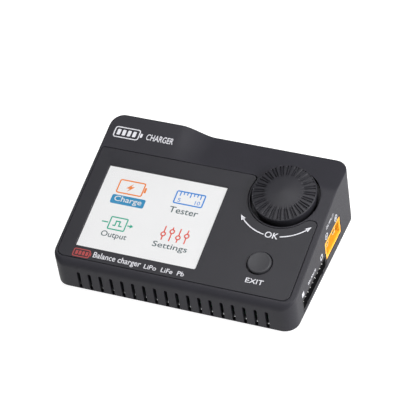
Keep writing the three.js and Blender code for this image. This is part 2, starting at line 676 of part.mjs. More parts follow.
function makeUsbSocket() {
  const mouth = -SIDE_FACE;
  const rear = mouth + USB_DEPTH;
  const wall = 0.8;
  const back = 1.2;
  const halfY = USB_WIDTH / 2;
  const halfZ = USB_HEIGHT / 2;
  const shell = solid(box(mouth, rear, USB_Y - halfY, USB_Y + halfY, USB_Z - halfZ, USB_Z + halfZ))
    .subtract(solid(box(mouth - OVERRUN, rear - back, USB_Y - halfY + wall, USB_Y + halfY - wall,
      USB_Z - halfZ + wall, USB_Z + halfZ - wall)));
  addMesh(charger, 'usb_shell', shell, SHEET_STEEL);
  const tongueHalf = halfY - 1.5;
  const tongueBottom = USB_Z + 0.2;
  const tongue = box(mouth + 1.2, rear - back - GAP, USB_Y - tongueHalf, USB_Y + tongueHalf,
    tongueBottom, tongueBottom + USB_TONGUE_THICKNESS);
  addMesh(charger, 'usb_tongue', tongue, BLACK_PLASTIC);
}

// ---- Fan ----------------------------------------------------------------------------------------------
function makeFan() {
  const rear = REAR_INNER_Y - GAP;
  const front = rear - FAN_DEPTH;
  const half = FAN_SIZE / 2;
  const armHalf = 0.7;
  const armReach = FAN_BORE_RADIUS + 0.3;
  const pillarRadius = 1;
  let frame = solid(box(FAN_X - half, FAN_X + half, front, rear, FAN_Z - half, FAN_Z + half))
    .subtract(solid(cylinderY(FAN_X, FAN_Z, FAN_BORE_RADIUS, front - OVERRUN, rear + OVERRUN, 48)));
  const motor = solid(cylinderY(FAN_X, FAN_Z, FAN_HUB_RADIUS, front, front + FAN_MOUNT_THICKNESS, 32));
  const arms = solid(box(FAN_X - armReach, FAN_X + armReach, front, front + FAN_MOUNT_THICKNESS,
    FAN_Z - armHalf, FAN_Z + armHalf));
  const pillar = solid(cylinderY(FAN_X, FAN_Z, pillarRadius, front, rear - 1.8, 16));
  frame = frame.add(motor).add(arms).add(pillar);
  for (const [x, z] of fanScrewPlaces()) {
    const radius = FAN_SCREW_SHANK_RADIUS + GAP;
    frame = frame.subtract(solid(cylinderY(x, z, radius, front - OVERRUN, rear + OVERRUN, 16)));
  }
  addMesh(charger, 'fan_frame', frame, BLACK_PLASTIC);
  makeFanRotor(front + FAN_MOUNT_THICKNESS + 0.4, rear - 0.5, pillarRadius + GAP);
  makeFanScrews();
}

function makeFanScrews() {
  const headHeight = 1.5;
  const length = 7;
  const sunk = 0.2;
  fanScrewPlaces().forEach(([x, z], index) => {
    const screw = screwProfile(FAN_SCREW_HEAD_RADIUS, headHeight, FAN_SCREW_SHANK_RADIUS, length);
    screw.rotateX(Math.PI).translate(x, HALF_D - sunk, z);
    addMesh(charger, `fan_screw_${index + 1}`, screw, SHEET_STEEL);
  });
}

function makeFanRotor(front, rear, socketRadius) {
  const bladeLength = FAN_BORE_RADIUS - 0.5;
  const bladeThickness = 0.8;
  const faceThickness = 0.8;
  let rotor = solid(cylinderY(FAN_X, FAN_Z, FAN_HUB_RADIUS, front, rear, 32));
  for (let i = 0; i < FAN_BLADES; i += 1) {
    const blade = new THREE.BoxGeometry(bladeLength, bladeThickness, rear - front + 0.4);
    blade.rotateX(-Math.PI / 4).translate(bladeLength / 2, 0, 0);
    blade.rotateX(Math.PI / 2).rotateY((i / FAN_BLADES) * Math.PI * 2);
    blade.translate(FAN_X, (front + rear) / 2, FAN_Z);
    rotor = rotor.add(solid(blade));
  }
  const sweep = solid(cylinderY(FAN_X, FAN_Z, bladeLength, front, rear, 48));
  const socket = solid(cylinderY(FAN_X, FAN_Z, socketRadius, front - OVERRUN, rear - faceThickness, 16));
  addMesh(charger, 'fan_rotor', rotor.intersect(sweep).subtract(socket), BLACK_PLASTIC);
}

// ---- Main board and what it carries -------------------------------------------------------------------
function makeMainBoard() {
  const edge = WALL + 0.8;
  const clearance = 0.4;
  const plan = roundedRectangle(edge - HALF_W, HALF_W - edge, edge - HALF_D, HALF_D - edge, 3);
  let board = solid(extrude(plan, BOARD_BOTTOM, BOARD_TOP));
  const fanEdge = FAN_X + FAN_SIZE / 2 + 1;
  const fanFront = REAR_INNER_Y - FAN_DEPTH - 2;
  board = board.subtract(solid(box(-HALF_W, fanEdge, fanFront, HALF_D, 0, TALL)));
  const headerRear = SIDE_FACE - BALANCE_DEPTH - clearance;
  const headerHalf = BALANCE_LENGTH / 2 + clearance;
  const headerNotch = box(headerRear, HALF_W, BALANCE_Y - headerHalf, BALANCE_Y + headerHalf, 0, TALL);
  board = board.subtract(solid(headerNotch));
  for (const [x, y] of screwPlaces()) {
    board = board.subtract(solid(cylinderZ(x, y, BOSS_RADIUS + clearance, 0, TALL, 24)));
  }
  addMesh(charger, 'main_board', board, BOARD_GREEN);
}

function makeHeatSink() {
  const fins = 8;
  const finThickness = 1.2;
  const width = 28;
  const baseTop = PART_BOTTOM + 1.8;
  const finTop = 13.4;
  const front = -12;
  const rear = 17;
  let sink = solid(box(-width / 2, width / 2, front, rear, PART_BOTTOM, baseTop));
  for (let i = 0; i < fins; i += 1) {
    const x = -width / 2 + (i * (width - finThickness)) / (fins - 1);
    sink = sink.add(solid(box(x, x + finThickness, front, rear, baseTop - 0.5, finTop)));
  }
  addMesh(charger, 'heat_sink', sink, ALUMINIUM);
}

function makeInductors() {
  const ringRadius = 5.6;
  const coilWidth = 2.7;
  const coilHeight = 3.4;
  const steps = 8;
  const profile = [];
  for (let i = 0; i <= steps; i += 1) {
    const angle = (i / steps) * Math.PI * 2;
    profile.push(new THREE.Vector2(ringRadius + coilWidth * Math.cos(angle), coilHeight * Math.sin(angle)));
  }
  const places = { left: [-25, 4], right: [24, 12] };
  for (const [name, [x, y]] of Object.entries(places)) {
    const ring = new THREE.LatheGeometry(profile, 24).rotateX(Math.PI / 2);
    addMesh(charger, `inductor_${name}`, ring.translate(x, y, PART_BOTTOM + coilHeight), COPPER);
  }
}

function makeCapacitors() {
  const count = 4;
  const radius = 4;
  const height = 12;
  const firstX = -14;
  const pitch = 9.5;
  const y = 25.5;
  for (let i = 0; i < count; i += 1) {
    const can = cylinderZ(firstX + i * pitch, y, radius, PART_BOTTOM, PART_BOTTOM + height, 24);
    addMesh(charger, `capacitor_${i + 1}`, can, SLEEVE);
  }
}

function makeBuzzer() {
  const x = -8;
  const y = -22;
  const radius = 4.5;
  const height = 3.5;
  addMesh(charger, 'buzzer', cylinderZ(x, y, radius, PART_BOTTOM, PART_BOTTOM + height, 28), BLACK_PLASTIC);
}

makeCaseShell();
makeBottomPlate();
makeFrontPanel();
makeDisplay();
makeKnob();
makeEncoder();
makeExitButton();
makeControlBoard();
makePowerSocket('output', 1, OUTPUT_Y);
makePowerSocket('input', -1, INPUT_Y);
makeBalanceHeader();
makeUsbSocket();
makeFan();
makeMainBoard();
makeHeatSink();
makeInductors();
makeCapacitors();
makeBuzzer();
makeFeet();
makeCaseScrews();

export default charger;
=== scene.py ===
"""Balance battery charger: the looks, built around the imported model.

Shapes are worked out in millimetres and turned into metres as each mesh is made.
"""
import json
import math

import bmesh
import bpy
from mathutils import Matrix, Vector


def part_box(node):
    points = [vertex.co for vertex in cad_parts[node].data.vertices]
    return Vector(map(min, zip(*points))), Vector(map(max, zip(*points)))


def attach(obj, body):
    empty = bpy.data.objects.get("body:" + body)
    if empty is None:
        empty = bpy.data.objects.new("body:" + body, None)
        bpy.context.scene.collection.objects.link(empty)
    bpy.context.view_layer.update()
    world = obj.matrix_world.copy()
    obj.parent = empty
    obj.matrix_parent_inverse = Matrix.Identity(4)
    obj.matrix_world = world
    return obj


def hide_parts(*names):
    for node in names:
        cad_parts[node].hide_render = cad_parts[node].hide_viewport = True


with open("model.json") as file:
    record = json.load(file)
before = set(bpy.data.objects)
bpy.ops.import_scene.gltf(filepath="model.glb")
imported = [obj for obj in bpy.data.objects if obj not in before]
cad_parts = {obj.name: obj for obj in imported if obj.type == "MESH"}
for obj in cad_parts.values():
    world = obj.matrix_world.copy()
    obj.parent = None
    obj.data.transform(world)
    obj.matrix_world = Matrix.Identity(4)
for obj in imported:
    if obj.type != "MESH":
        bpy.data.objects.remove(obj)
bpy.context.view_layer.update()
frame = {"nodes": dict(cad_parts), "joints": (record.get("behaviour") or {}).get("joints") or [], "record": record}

# --- Sizes that the frame doesn't give, in millimetres ---
MM = 0.001
CORNER = 5.4
EDGES = (2.5, 0.5, 0.3)
WALL = 2.0
ROOF = 3.3
SEAM_GAP = 0.2
SEAM_BREAK = 0.12
KINK_SOFTNESS = 1.4
STRIP_RISE = 0.025
HUMP_LEFT = -20.0
HUMP_RIGHT = -6.0
PANEL_CORNER = 3.0
EAR_CORNER = 1.8
EAR_REAR = 38.1
RING_RADIUS = 14.3
WELL_RADIUS = 13.5
WELL_DEPTH = 3.6
WELL_FLOOR = 1.2
INK = 0.03
KNOB_RIBS = 24
KNOB_PHASE = 0.55
GROOVE_DEPTH = 0.55
GROOVE_OFFSET = 0.18
GROOVE_HALF_WIDTH = 0.13
SLOTS = 18
SLOT_FIRST = -38.0
SLOT_PITCH = 4.5
SLOT_WIDTH = 1.3
SLOT_HEIGHT = 8.6
SLOT_SILL = 0.25
POWER_PIN_SPACING = 7.2
BALANCE_PINS = 9

# --- Camera: where it stands, as seen from the aim point ---
CAMERA_AZIMUTH = 28.41
CAMERA_ELEVATION = 43.35
CAMERA_ROLL = -9.21
CAMERA_DISTANCE = 845.15
CAMERA_LENS = 192.15
CAMERA_AIM = Vector((0.0, 0.0, 14.0))
CAMERA_ASIDE = 2.1
CAMERA_ABOVE = 6.29

# --- Light; the floor is a light table: it glows by itself, so the object hardly shades it ---
FLOOR_GLOW = 0.9
FLOOR_ALBEDO = 0.3
FLOOR_HALF = 3000
WORLD_GLOW = 0.08
SCREEN_GLOW = 6.8
ICON_GLOW = 5.4
LIGHTS = (  # name, place and size in millimetres, watts
    ("key", (520, -60, 400), (420, 420), 6.4),
    ("low", (620, 20, 230), (620, 420), 2.6),
    ("top", (-40, 60, 700), (360, 320), 3.6),
    ("front", (-120, -560, 520), (520, 420), 1.0),
)


# --- Reading the frame ---
def span(node, direction):
    """Lowest and highest reach of a CAD node along a direction, in millimetres."""
    reach = [vertex.co.dot(direction) / MM for vertex in frame["nodes"][node].data.vertices]
    return min(reach), max(reach)


def box(node):
    low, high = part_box(node)
    return low / MM, high / MM


def middle(node):
    low, high = box(node)
    return (low + high) / 2


def halves(node):
    """Half of a node's size along each axis."""
    low, high = box(node)
    return (high - low) / 2


def from_middle(node):
    """Inner and outer distance of a node from the plane x = 0."""
    return sorted(abs(end.x) for end in box(node))


joints = {entry["name"]: entry for entry in frame["joints"]}
NORMAL = Vector(joints["knob_turn"]["axis"]).normalized()
SLOPE = Vector((0, NORMAL.z, -NORMAL.y))
CASE_LOW, CASE_HIGH = box("case_shell")
HALF_WIDTH = (CASE_HIGH.x - CASE_LOW.x) / 2
HALF_DEPTH = (CASE_HIGH.y - CASE_LOW.y) / 2
BOTTOM = CASE_LOW.z
FRONT_HEIGHT = (span("front_panel", NORMAL)[1] + NORMAL.y * HALF_DEPTH) / NORMAL.z
ORIGIN = Vector((0, -HALF_DEPTH, FRONT_HEIGHT))
PANEL = Matrix.Translation(ORIGIN) @ Matrix((
    (1, SLOPE.x, NORMAL.x, 0),
    (0, SLOPE.y, NORMAL.y, 0),
    (0, SLOPE.z, NORMAL.z, 0),
    (0, 0, 0, 1),
))
RISE = SLOPE.z / SLOPE.y


def on_panel(node, direction):
    """A node's reach along a direction of the panel's own frame."""
    low, high = span(node, direction)
    start = ORIGIN.dot(direction)
    return low - start, high - start


PANEL_LEFT, PANEL_RIGHT = box("front_panel")[0].x, box("front_panel")[1].x
PANEL_FRONT, PANEL_REAR = on_panel("front_panel", SLOPE)
SEAM_Y = -HALF_DEPTH + PANEL_REAR * SLOPE.y
knob_place = Vector(joints["knob_turn"]["pos_m"]) / MM - ORIGIN
KNOB_X, KNOB_S = knob_place.x, knob_place.dot(SLOPE)
BUTTON_X = middle("exit_button").x
BUTTON_S = sum(on_panel("exit_switch_plunger", SLOPE)) / 2


# --- Mesh making ---
def link(thing):
    bpy.context.scene.collection.objects.link(thing)
    return thing


def baked(thing):
    """The mesh that an object's modifiers or text give."""
    bpy.context.view_layer.update()
    return bpy.data.meshes.new_from_object(
        thing.evaluated_get(bpy.context.evaluated_depsgraph_get()))


def make(name, points, faces, matrix=Matrix()):
    mesh = bpy.data.meshes.new(name)
    mesh.from_pydata([(matrix @ Vector(point)) * MM for point in points], [], faces)
    shape = bmesh.new()
    shape.from_mesh(mesh)
    bmesh.ops.recalc_face_normals(shape, faces=shape.faces)
    shape.to_mesh(mesh)
    shape.free()
    return link(bpy.data.objects.new(name, mesh))


def skin(rings):
    """Points and faces of a closed body through anticlockwise rings, lowest first."""
    count = len(rings[0])
    points = [point for ring in rings for point in ring]
    faces = [tuple(reversed(range(count)))]
    for level in range(len(rings) - 1):
        for step in range(count):
            a = level * count + step
            b = level * count + (step + 1) % count
            faces.append((a, b, b + count, a + count))
    top = (len(rings) - 1) * count
    faces.append(tuple(range(top, top + count)))
    return points, faces


def slab(name, outline, levels, matrix=Matrix()):
    """A body whose outline(grow) is stacked at levels of (height, grow)."""
    rings = [[(x, y, height) for x, y in outline(grow)] for height, grow in levels]
    return make(name, *skin(rings), matrix)


def smooth(value, start, end):
    """Nought up to start, one from end on, and a smooth change between."""
    t = min(max((value - start) / (end - start), 0.0), 1.0)
    return t * t * (3 - 2 * t)


def quarter_turns(steps):
    """Angles from nought to a right angle."""
    return [math.pi / 2 * step / steps for step in range(steps + 1)]


def eased(low, high, top=0.0, bottom=0.0, steps=3):
    """Levels from low to high with rounded edges of the given radii."""
    start = [(low + bottom * (1 - math.cos(turn)), -bottom * (1 - math.sin(turn)))
             for turn in quarter_turns(steps)]
    end = [(high - top * (1 - math.sin(turn)), -top * (1 - math.cos(turn)))
           for turn in quarter_turns(steps)]
    return (start if bottom else [(low, 0.0)]) + (end if top else [(high, 0.0)])


def opened(low, surface, depth, flare):
    """Levels of a cutter from low to 1 mm past the surface, whose mouth flares over depth."""
    return [(low, 0.0), (surface - depth, 0.0), (surface, flare), (surface + 1, flare + 0.05)]


def arc(x, y, radius, start, end, steps):
    return [(x + radius * math.cos(start + (end - start) * i / steps),
             y + radius * math.sin(start + (end - start) * i / steps)) for i in range(steps + 1)]


def ease_corner(start, corner, end, steps=5):
    points = []
    for i in range(steps + 1):
        t = i / steps
        points.append(tuple((1 - t) ** 2 * a + 2 * t * (1 - t) * b + t ** 2 * c
                            for a, b, c in zip(start, corner, end)))
    return points


def rounded(x0, x1, y0, y1, radius, steps=6):
    """An outline function for a rectangle with round corners."""
    def outline(grow=0.0):
        r = max(radius + grow, 0.02)
        a, b, c, d = x0 - grow + r, x1 + grow - r, y0 - grow + r, y1 + grow - r
        quarter = math.pi / 2
        return (arc(b, c, r, -quarter, 0, steps) + arc(b, d, r, 0, quarter, steps)
                + arc(a, d, r, quarter, 2 * quarter, steps)
                + arc(a, c, r, 2 * quarter, 3 * quarter, steps))
    return outline


def circle(x, y, radius, steps=64):
    def outline(grow=0.0):
        return arc(x, y, radius + grow, 0, 2 * math.pi, steps)[:-1]
    return outline


def lathe(name, profile, matrix=Matrix(), steps=64, shape=None):
    """Turns a profile of (radius, height) round Z; it runs from axis to axis, or closes on itself.
    shape(radius, angle, height) adds to the height."""
    points, faces, rows = [], [], []
    for radius, height in profile:
        if radius < 1e-6:
            rows.append([len(points)])
            points.append((0, 0, height))
            continue
        rows.append(list(range(len(points), len(points) + steps)))
        for i in range(steps):
            angle = 2 * math.pi * i / steps
            lift = shape(radius, angle, height) if shape else 0.0
            points.append((radius * math.cos(angle), radius * math.sin(angle), height + lift))
    pairs = list(zip(rows, rows[1:]))
    if len(rows[0]) > 1:
        pairs.append((rows[-1], rows[0]))
    for low, high in pairs:
        for i in range(steps):
            j = (i + 1) % steps
            if len(low) == 1 and len(high) > 1:
                faces.append((low[0], high[j], high[i]))
            elif len(high) == 1 and len(low) > 1:
                faces.append((low[i], low[j], high[0]))
            elif len(low) > 1:
                faces.append((low[i], low[j], high[j], high[i]))
    return make(name, points, faces, matrix)


def along_x(y=0.0, z=0.0, turned=False):
    """A socket's own x, y, z run along Y, Z and X, or face the other way when turned."""
    basis = Matrix(((0, 0, 1, 0), (1, 0, 0, 0), (0, 1, 0, 0), (0, 0, 0, 1)))
    spin = Matrix.Rotation(math.pi, 4, "Z") if turned else Matrix()
    return Matrix.Translation((0, y, z)) @ spin @ basis


def along_y(x=0.0, z=0.0):
    """Its own x, y, z run along X, -Z and Y."""
    basis = Matrix(((1, 0, 0, 0), (0, 0, 1, 0), (0, -1, 0, 0), (0, 0, 0, 1)))
    return Matrix.Translation((x, 0, z)) @ basis


def join(name, pieces):
    points, faces = [], []
    for piece in pieces:
        start = len(points)
        points += [vertex.co.copy() for vertex in piece.data.vertices]
        faces += [tuple(start + index for index in polygon.vertices)
                  for polygon in piece.data.polygons]
        bpy.data.objects.remove(piece)
    mesh = bpy.data.meshes.new(name)
    mesh.from_pydata(points, [], faces)
    return link(bpy.data.objects.new(name, mesh))


def combine(target, other, operation="DIFFERENCE"):
    """Applies a boolean to target and removes the other piece."""
    cut = target.modifiers.new("cut", "BOOLEAN")
    cut.object = other
    cut.operation = operation
    cut.solver = "MANIFOLD"
    result = baked(target)
    target.modifiers.clear()
    target.data = result
    bpy.data.objects.remove(other)
    return target


def split_big_faces(piece):
    """Triangles where the cutters left faces of many corners, which would shade unevenly."""
    shape = bmesh.new()
    shape.from_mesh(piece.data)
    bmesh.ops.triangulate(shape, faces=[face for face in shape.faces if len(face.verts) > 4])
    shape.to_mesh(piece.data)
    shape.free()


def shade(piece, angle=32):
    for polygon in piece.data.polygons:
        polygon.use_smooth = True
    piece.data.set_sharp_from_angle(angle=math.radians(angle))
    weighted = piece.modifiers.new("normals", "WEIGHTED_NORMAL")
    weighted.keep_sharp = True
    weighted.weight = 80
    return piece


def dress(piece, material, body, slot, *replaced):
    """Shading, material and body of a finished piece, and the CAD nodes it stands for. The slot argument is not
    used.
    """
    shade(piece)
    piece.data.materials.clear()
    piece.data.materials.append(material)
    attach(piece, body)
    if replaced:
        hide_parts(*replaced)
    return piece


# --- Materials ---
class Shader:
    """A Principled material with helpers for its nodes. Textures use object space."""

    def __init__(self, name, color, roughness, metallic=0.0, specular=0.5):
        self.material = bpy.data.materials.new(name)
        self.material.use_nodes = True
        self.nodes = self.material.node_tree.nodes
        self.links = self.material.node_tree.links
        self.shader = self.nodes["Principled BSDF"]
        for name, value in (("Base Color", (*color, 1)), ("Roughness", roughness),
                            ("Metallic", metallic), ("Specular IOR Level", specular)):
            self.shader.inputs[name].default_value = value
        self.color = color
        self.roughness = roughness
        self.place = self.nodes.new("ShaderNodeTexCoord").outputs["Object"]

    def add(self, kind, sources, values):
        """A new node's outputs, with its inputs linked from sources and set to values."""
        node = self.nodes.new("ShaderNode" + kind)
        for name, source in sources.items():
            self.links.new(source, node.inputs[name])
        for name, value in values.items():
            node.inputs[name].default_value = value
        return node.outputs

    def stretched(self, scale):
        return self.add("Mapping", {"Vector": self.place}, {"Scale": scale})["Vector"]

    def noise(self, scale, detail=3.0, roughness=0.5, vector=None):
        return self.add("TexNoise", {"Vector": vector or self.place},
                        {"Scale": scale, "Detail": detail, "Roughness": roughness})["Fac"]

    def vary_color(self, value, dark=0.9, light=1.1, start=0.3, end=0.7):
        ramp = self.nodes.new("ShaderNodeValToRGB")
        ends = zip(ramp.color_ramp.elements, (start, end), (dark, light))
        for element, place, factor in ends:
            element.position = place
            element.color = (*(min(c * factor, 1) for c in self.color), 1)
        self.links.new(value, ramp.inputs["Fac"])
        self.links.new(ramp.outputs["Color"], self.shader.inputs["Base Color"])
        return ramp

    def vary_roughness(self, value, spread):
        limits = {"From Min": 0.3, "From Max": 0.7,
                  "To Min": self.roughness - spread, "To Max": self.roughness + spread}
        result = self.add("MapRange", {"Value": value}, limits)["Result"]
        self.links.new(result, self.shader.inputs["Roughness"])

    def bump(self, value, strength, depth):
        values = {"Strength": strength, "Distance": depth}
        normal = self.add("Bump", {"Height": value}, values)["Normal"]
        self.links.new(normal, self.shader.inputs["Normal"])

    def glow(self, ramp, strength):
        self.links.new(ramp.outputs["Color"], self.shader.inputs["Emission Color"])
        self.shader.inputs["Emission Strength"].default_value = strength


def moulded(name, color, roughness, grain=2600.0, strength=0.25):
    """Moulded plastic with a fine spark-eroded skin and slow changes of tone."""
    look = Shader(name, color, roughness, specular=0.2)
    look.vary_color(look.noise(70.0, 4.0), 0.94, 1.06)
    fine = look.noise(grain, 2.0, 0.6)
    look.vary_roughness(fine, 0.07)
    look.bump(fine, strength, 0.00003)
    return look.material


def brushed(name, color, roughness, along=(30.0, 2200.0, 2200.0)):
    """Metal brushed along one axis."""
    look = Shader(name, color, roughness, metallic=1.0)
    lines = look.noise(1.0, 3.0, 0.6, look.stretched(along))
    look.vary_color(lines, 0.88, 1.08)
    look.vary_roughness(lines, 0.09)
    look.bump(lines, 0.12, 0.00002)
    return look.material


def ink(name, color):
    look = Shader(name, color, 0.55)
    grain = look.noise(3200.0, 2.0)
    look.vary_color(grain, 0.93, 1.03)
    look.bump(grain, 0.1, 0.00001)
    return look.material


def lit_screen(name, color, glow=ICON_GLOW):
    """A backlit layer: fine rows of pixels over a faint fall-off of the backlight."""
    look = Shader(name, [0.12 * part for part in color], 0.35, specular=0.3)
    ramp = look.vary_color(look.noise(45.0, 1.0), 0.975, 1.0)
    rows = look.noise(1.0, 0.0, 0.5, look.stretched((6500.0, 6500.0, 400.0)))
    look.bump(rows, 0.04, 0.00001)
    look.glow(ramp, glow)
    return look.material


def clear_plastic(name):
    look = Shader(name, (0.25, 0.26, 0.28), 0.12, specular=0.3)
    look.vary_roughness(look.noise(900.0, 2.0), 0.03)
    look.shader.inputs["Alpha"].default_value = 0.03
    return look.material


def circuit_board(name):
    look = Shader(name, (0.012, 0.085, 0.045), 0.35)
    cells = look.add("TexVoronoi", {"Vector": look.place}, {"Scale": 420.0})["Distance"]
    look.vary_color(cells, 0.75, 1.5, 0.25, 0.35)
    look.bump(look.noise(1500.0), 0.15, 0.00003)
    return look.material


def wound_copper(name):
    look = Shader(name, (0.55, 0.22, 0.09), 0.3, 0.9)
    wave = look.add("TexWave", {"Vector": look.place}, {"Scale": 330.0, "Distortion": 1.0})["Fac"]
    look.vary_color(wave, 0.6, 1.15)
    look.bump(wave, 0.6, 0.0002)
    return look.material


def rubber(name):
    look = Shader(name, (0.018, 0.018, 0.02), 0.85, specular=0.3)
    grain = look.noise(1400.0, 4.0, 0.6)
    look.vary_color(grain, 0.8, 1.3)
    look.bump(grain, 0.35, 0.00005)
    return look.material


CASE_PLASTIC = moulded("case_plastic", (0.0165, 0.016, 0.0205), 0.52)
PANEL_PLASTIC = moulded("panel_plastic", (0.0145, 0.0142, 0.0178), 0.48, grain=3200.0,
                        strength=0.16)
KNOB_PLASTIC = moulded("knob_plastic", (0.0143, 0.014, 0.0175), 0.5, grain=3400.0, strength=0.15)
BUTTON_PLASTIC = moulded("button_plastic", (0.0275, 0.0275, 0.031), 0.5, grain=3400.0,
                         strength=0.15)
BLACK_PLASTIC = moulded("black_plastic", (0.006, 0.006, 0.007), 0.45, grain=1800.0, strength=0.2)
YELLOW_PLASTIC = moulded("connector_yellow", (0.70, 0.32, 0.022), 0.42, grain=1500.0, strength=0.2)
SLEEVE = moulded("capacitor_sleeve", (0.02, 0.03, 0.055), 0.3, grain=900.0, strength=0.1)
STEEL = brushed("sheet_steel", (0.62, 0.63, 0.64), 0.3)
TIN = brushed("tinned_pin", (0.72, 0.72, 0.70), 0.28, (2500.0, 60.0, 2500.0))
GOLD = brushed("contact_metal", (0.83, 0.62, 0.28), 0.25, (40.0, 1500.0, 1500.0))
ALUMINIUM = brushed("aluminium", (0.42, 0.43, 0.45), 0.38, (20.0, 2600.0, 2600.0))
CLEAR = clear_plastic("clear_window")
SCREEN = lit_screen("screen", (0.84, 0.84, 0.845), SCREEN_GLOW)
BOARD = circuit_board("circuit_board")
COPPER = wound_copper("copper_winding")
RUBBER = rubber("rubber")
WHITE_INK = ink("white_ink", (0.46, 0.46, 0.49))
RED_INK = ink("red_ink", (0.25, 0.02, 0.02))
# Blender numbers a name that the frame has already, such as rubber.001.
SLOT_LOOKS = {look.name.split(".")[0]: look for look in (
    CASE_PLASTIC, PANEL_PLASTIC, KNOB_PLASTIC, BUTTON_PLASTIC, BLACK_PLASTIC, YELLOW_PLASTIC,
    SLEEVE, STEEL, TIN, GOLD, ALUMINIUM, CLEAR, SCREEN, BOARD, COPPER, RUBBER)}


def dress_frame():
    """Every CAD node gets its slot's material; most outer ones are replaced further on."""
    for entry in frame["record"]["subparts"]:
        node = frame["nodes"][entry["node"]]
        node.data.materials.clear()
        node.data.materials.append(SLOT_LOOKS[entry["material_slot"]])


# --- Case shell ---
def roof_height(x, y):
    """The panel's slope, which softly turns nearly level behind the seam, except on the hump."""
    past = y - SEAM_Y
    if past > KINK_SOFTNESS:
        drop = past
    elif past > -KINK_SOFTNESS:
        drop = (past + KINK_SOFTNESS) ** 2 / (4 * KINK_SOFTNESS)
    else:
        drop = 0.0
    share = smooth(x, HUMP_LEFT, HUMP_RIGHT)
    return FRONT_HEIGHT + (y + HALF_DEPTH) * RISE - share * drop * (RISE - STRIP_RISE)


def side_stations():
    near = [SEAM_Y + KINK_SOFTNESS * step / 3 for step in range(-3, 4)]
    return [-18.0, -6.0, 6.0] + near + [22.0, 25.0]


def case_columns(inset, edges, out):
    """Front and rear end (x, y, edge radius) of each column, left to right.

    The ends are drawn in by inset and by out times the edge radius."""
    front, side, rear = edges
    cx, cy = HALF_WIDTH - CORNER, HALF_DEPTH - CORNER
    right = []
    for turn in quarter_turns(8):
        pair = []
        for end, way in ((front, -1), (rear, 1)):
            edge = side + (end - side) * math.sin(turn) ** 2
            radius = CORNER - inset - edge * out
            pair.append((cx + radius * math.cos(turn), way * (cy + radius * math.sin(turn)), edge))
        right.append(pair)
    left = [[(-x, y, edge) for x, y, edge in pair] for pair in right]
    middle_x = [HUMP_LEFT + (HUMP_RIGHT - HUMP_LEFT) * i / 12 for i in range(13)]
    inner = [[(x, inset + front * out - HALF_DEPTH, front),
              (x, HALF_DEPTH - inset - rear * out, rear)]
             for x in [-32.0] + middle_x + [10.0, 26.0]]
    return left + inner + right[::-1]


def case_ring(inset, height, edges=(0, 0, 0), out=0.0, down=0.0):
    columns = case_columns(inset, edges, out)
    side = edges[1]
    x = HALF_WIDTH - inset - side * out
    ring = [front for front, rear in columns]
    ring += [(x, y, side) for y in side_stations()]
    ring += [rear for front, rear in reversed(columns)]
    ring += [(-x, y, side) for y in reversed(side_stations())]
    return [(x, y, height(x, y) - edge * down) for x, y, edge in ring]


def roofed_body(name, inset, bottom, drop, edges, foot_edge):
    """A closed block under the case's roof, with its roof edge rounded.

    It is drawn in by inset and lowered by drop."""
    def sunk_roof(x, y):
        return roof_height(x, y) - drop

    rings = [case_ring(inset + foot_edge * share, lambda x, y: bottom + foot_edge * lift)
             for share, lift in (((1, 0), (0.3, 0.3), (0, 1)) if foot_edge else ((0, 0),))]
    out = 0.0
    for turn in quarter_turns(6):
        out = 1 - math.cos(turn)
        rings.append(case_ring(inset, sunk_roof, edges, out, 1 - math.sin(turn)))
    points, faces = skin(rings)
    faces.pop()
    columns = case_columns(inset, edges, out)
    stations = side_stations()
    count = len(rings[0])
    start = (len(rings) - 1) * count
    last = len(columns) - 1
    grid = []
    for index, (front, rear) in enumerate(columns):
        if index == 0:
            inner = [start + count - 1 - i for i in range(len(stations))]
        elif index == last:
            inner = [start + len(columns) + i for i in range(len(stations))]
        else:
            inner = list(range(len(points), len(points) + len(stations)))
            for y in stations:
                x = front[0] + (rear[0] - front[0]) * (y - front[1]) / (rear[1] - front[1])
                points.append((x, y, sunk_roof(x, y)))
        rear_index = start + len(columns) + len(stations) + (last - index)
        grid.append([start + index] + inner + [rear_index])
    for one, two in zip(grid, grid[1:]):
        for row in range(len(one) - 1):
            faces.append((one[row], two[row], two[row + 1], one[row + 1]))
    return make(name, points, faces)


def panel_outline(grow=0.0):
    """The face plate's edge: a rectangle that steps round the knob's well and leaves an ear."""
    left, right = PANEL_LEFT - grow, PANEL_RIGHT + grow
    front, rear, ear = PANEL_FRONT - grow, PANEL_REAR + grow, EAR_REAR + grow
    ring = RING_RADIUS - grow
    ear_turn = math.asin((ear - KNOB_S) / ring)
    rear_turn = math.pi - math.asin((rear - KNOB_S) / ring) - 2 * math.pi
    ear_ease, rear_ease = 0.11, 0.22
    quarter = math.pi / 2

    def on_ring(turn):
        return KNOB_X + ring * math.cos(turn), KNOB_S + ring * math.sin(turn)

    r, e, small = PANEL_CORNER + grow, EAR_CORNER + grow, 0.8 + grow
    points = arc(right - r, front + r, r, -quarter, 0, 8)
    points += arc(right - e, ear - e, e, 0, quarter, 8)
    corner = on_ring(ear_turn)
    points += ease_corner((corner[0] + ear_ease * ring, ear), corner, on_ring(ear_turn - ear_ease))
    points += arc(KNOB_X, KNOB_S, ring, ear_turn - ear_ease, rear_turn + rear_ease, 56)[1:-1]
    corner = on_ring(rear_turn)
    points += ease_corner(on_ring(rear_turn + rear_ease), corner,
                          (corner[0] - rear_ease * ring, rear))
    points += arc(left + small, rear - small, small, quarter, 2 * quarter, 4)
    points += arc(left + r, front + r, r, 2 * quarter, 3 * quarter, 8)
    return points


def flared(low, top, grow, flare):
    """Levels of a cutter whose mouth breaks the edge at height 0 by flare."""
    return [(low, grow), (-flare, grow), (-flare * 0.4, grow + flare * 0.35),
            (0.0, grow + flare), (top, grow + flare + top * 0.02)]


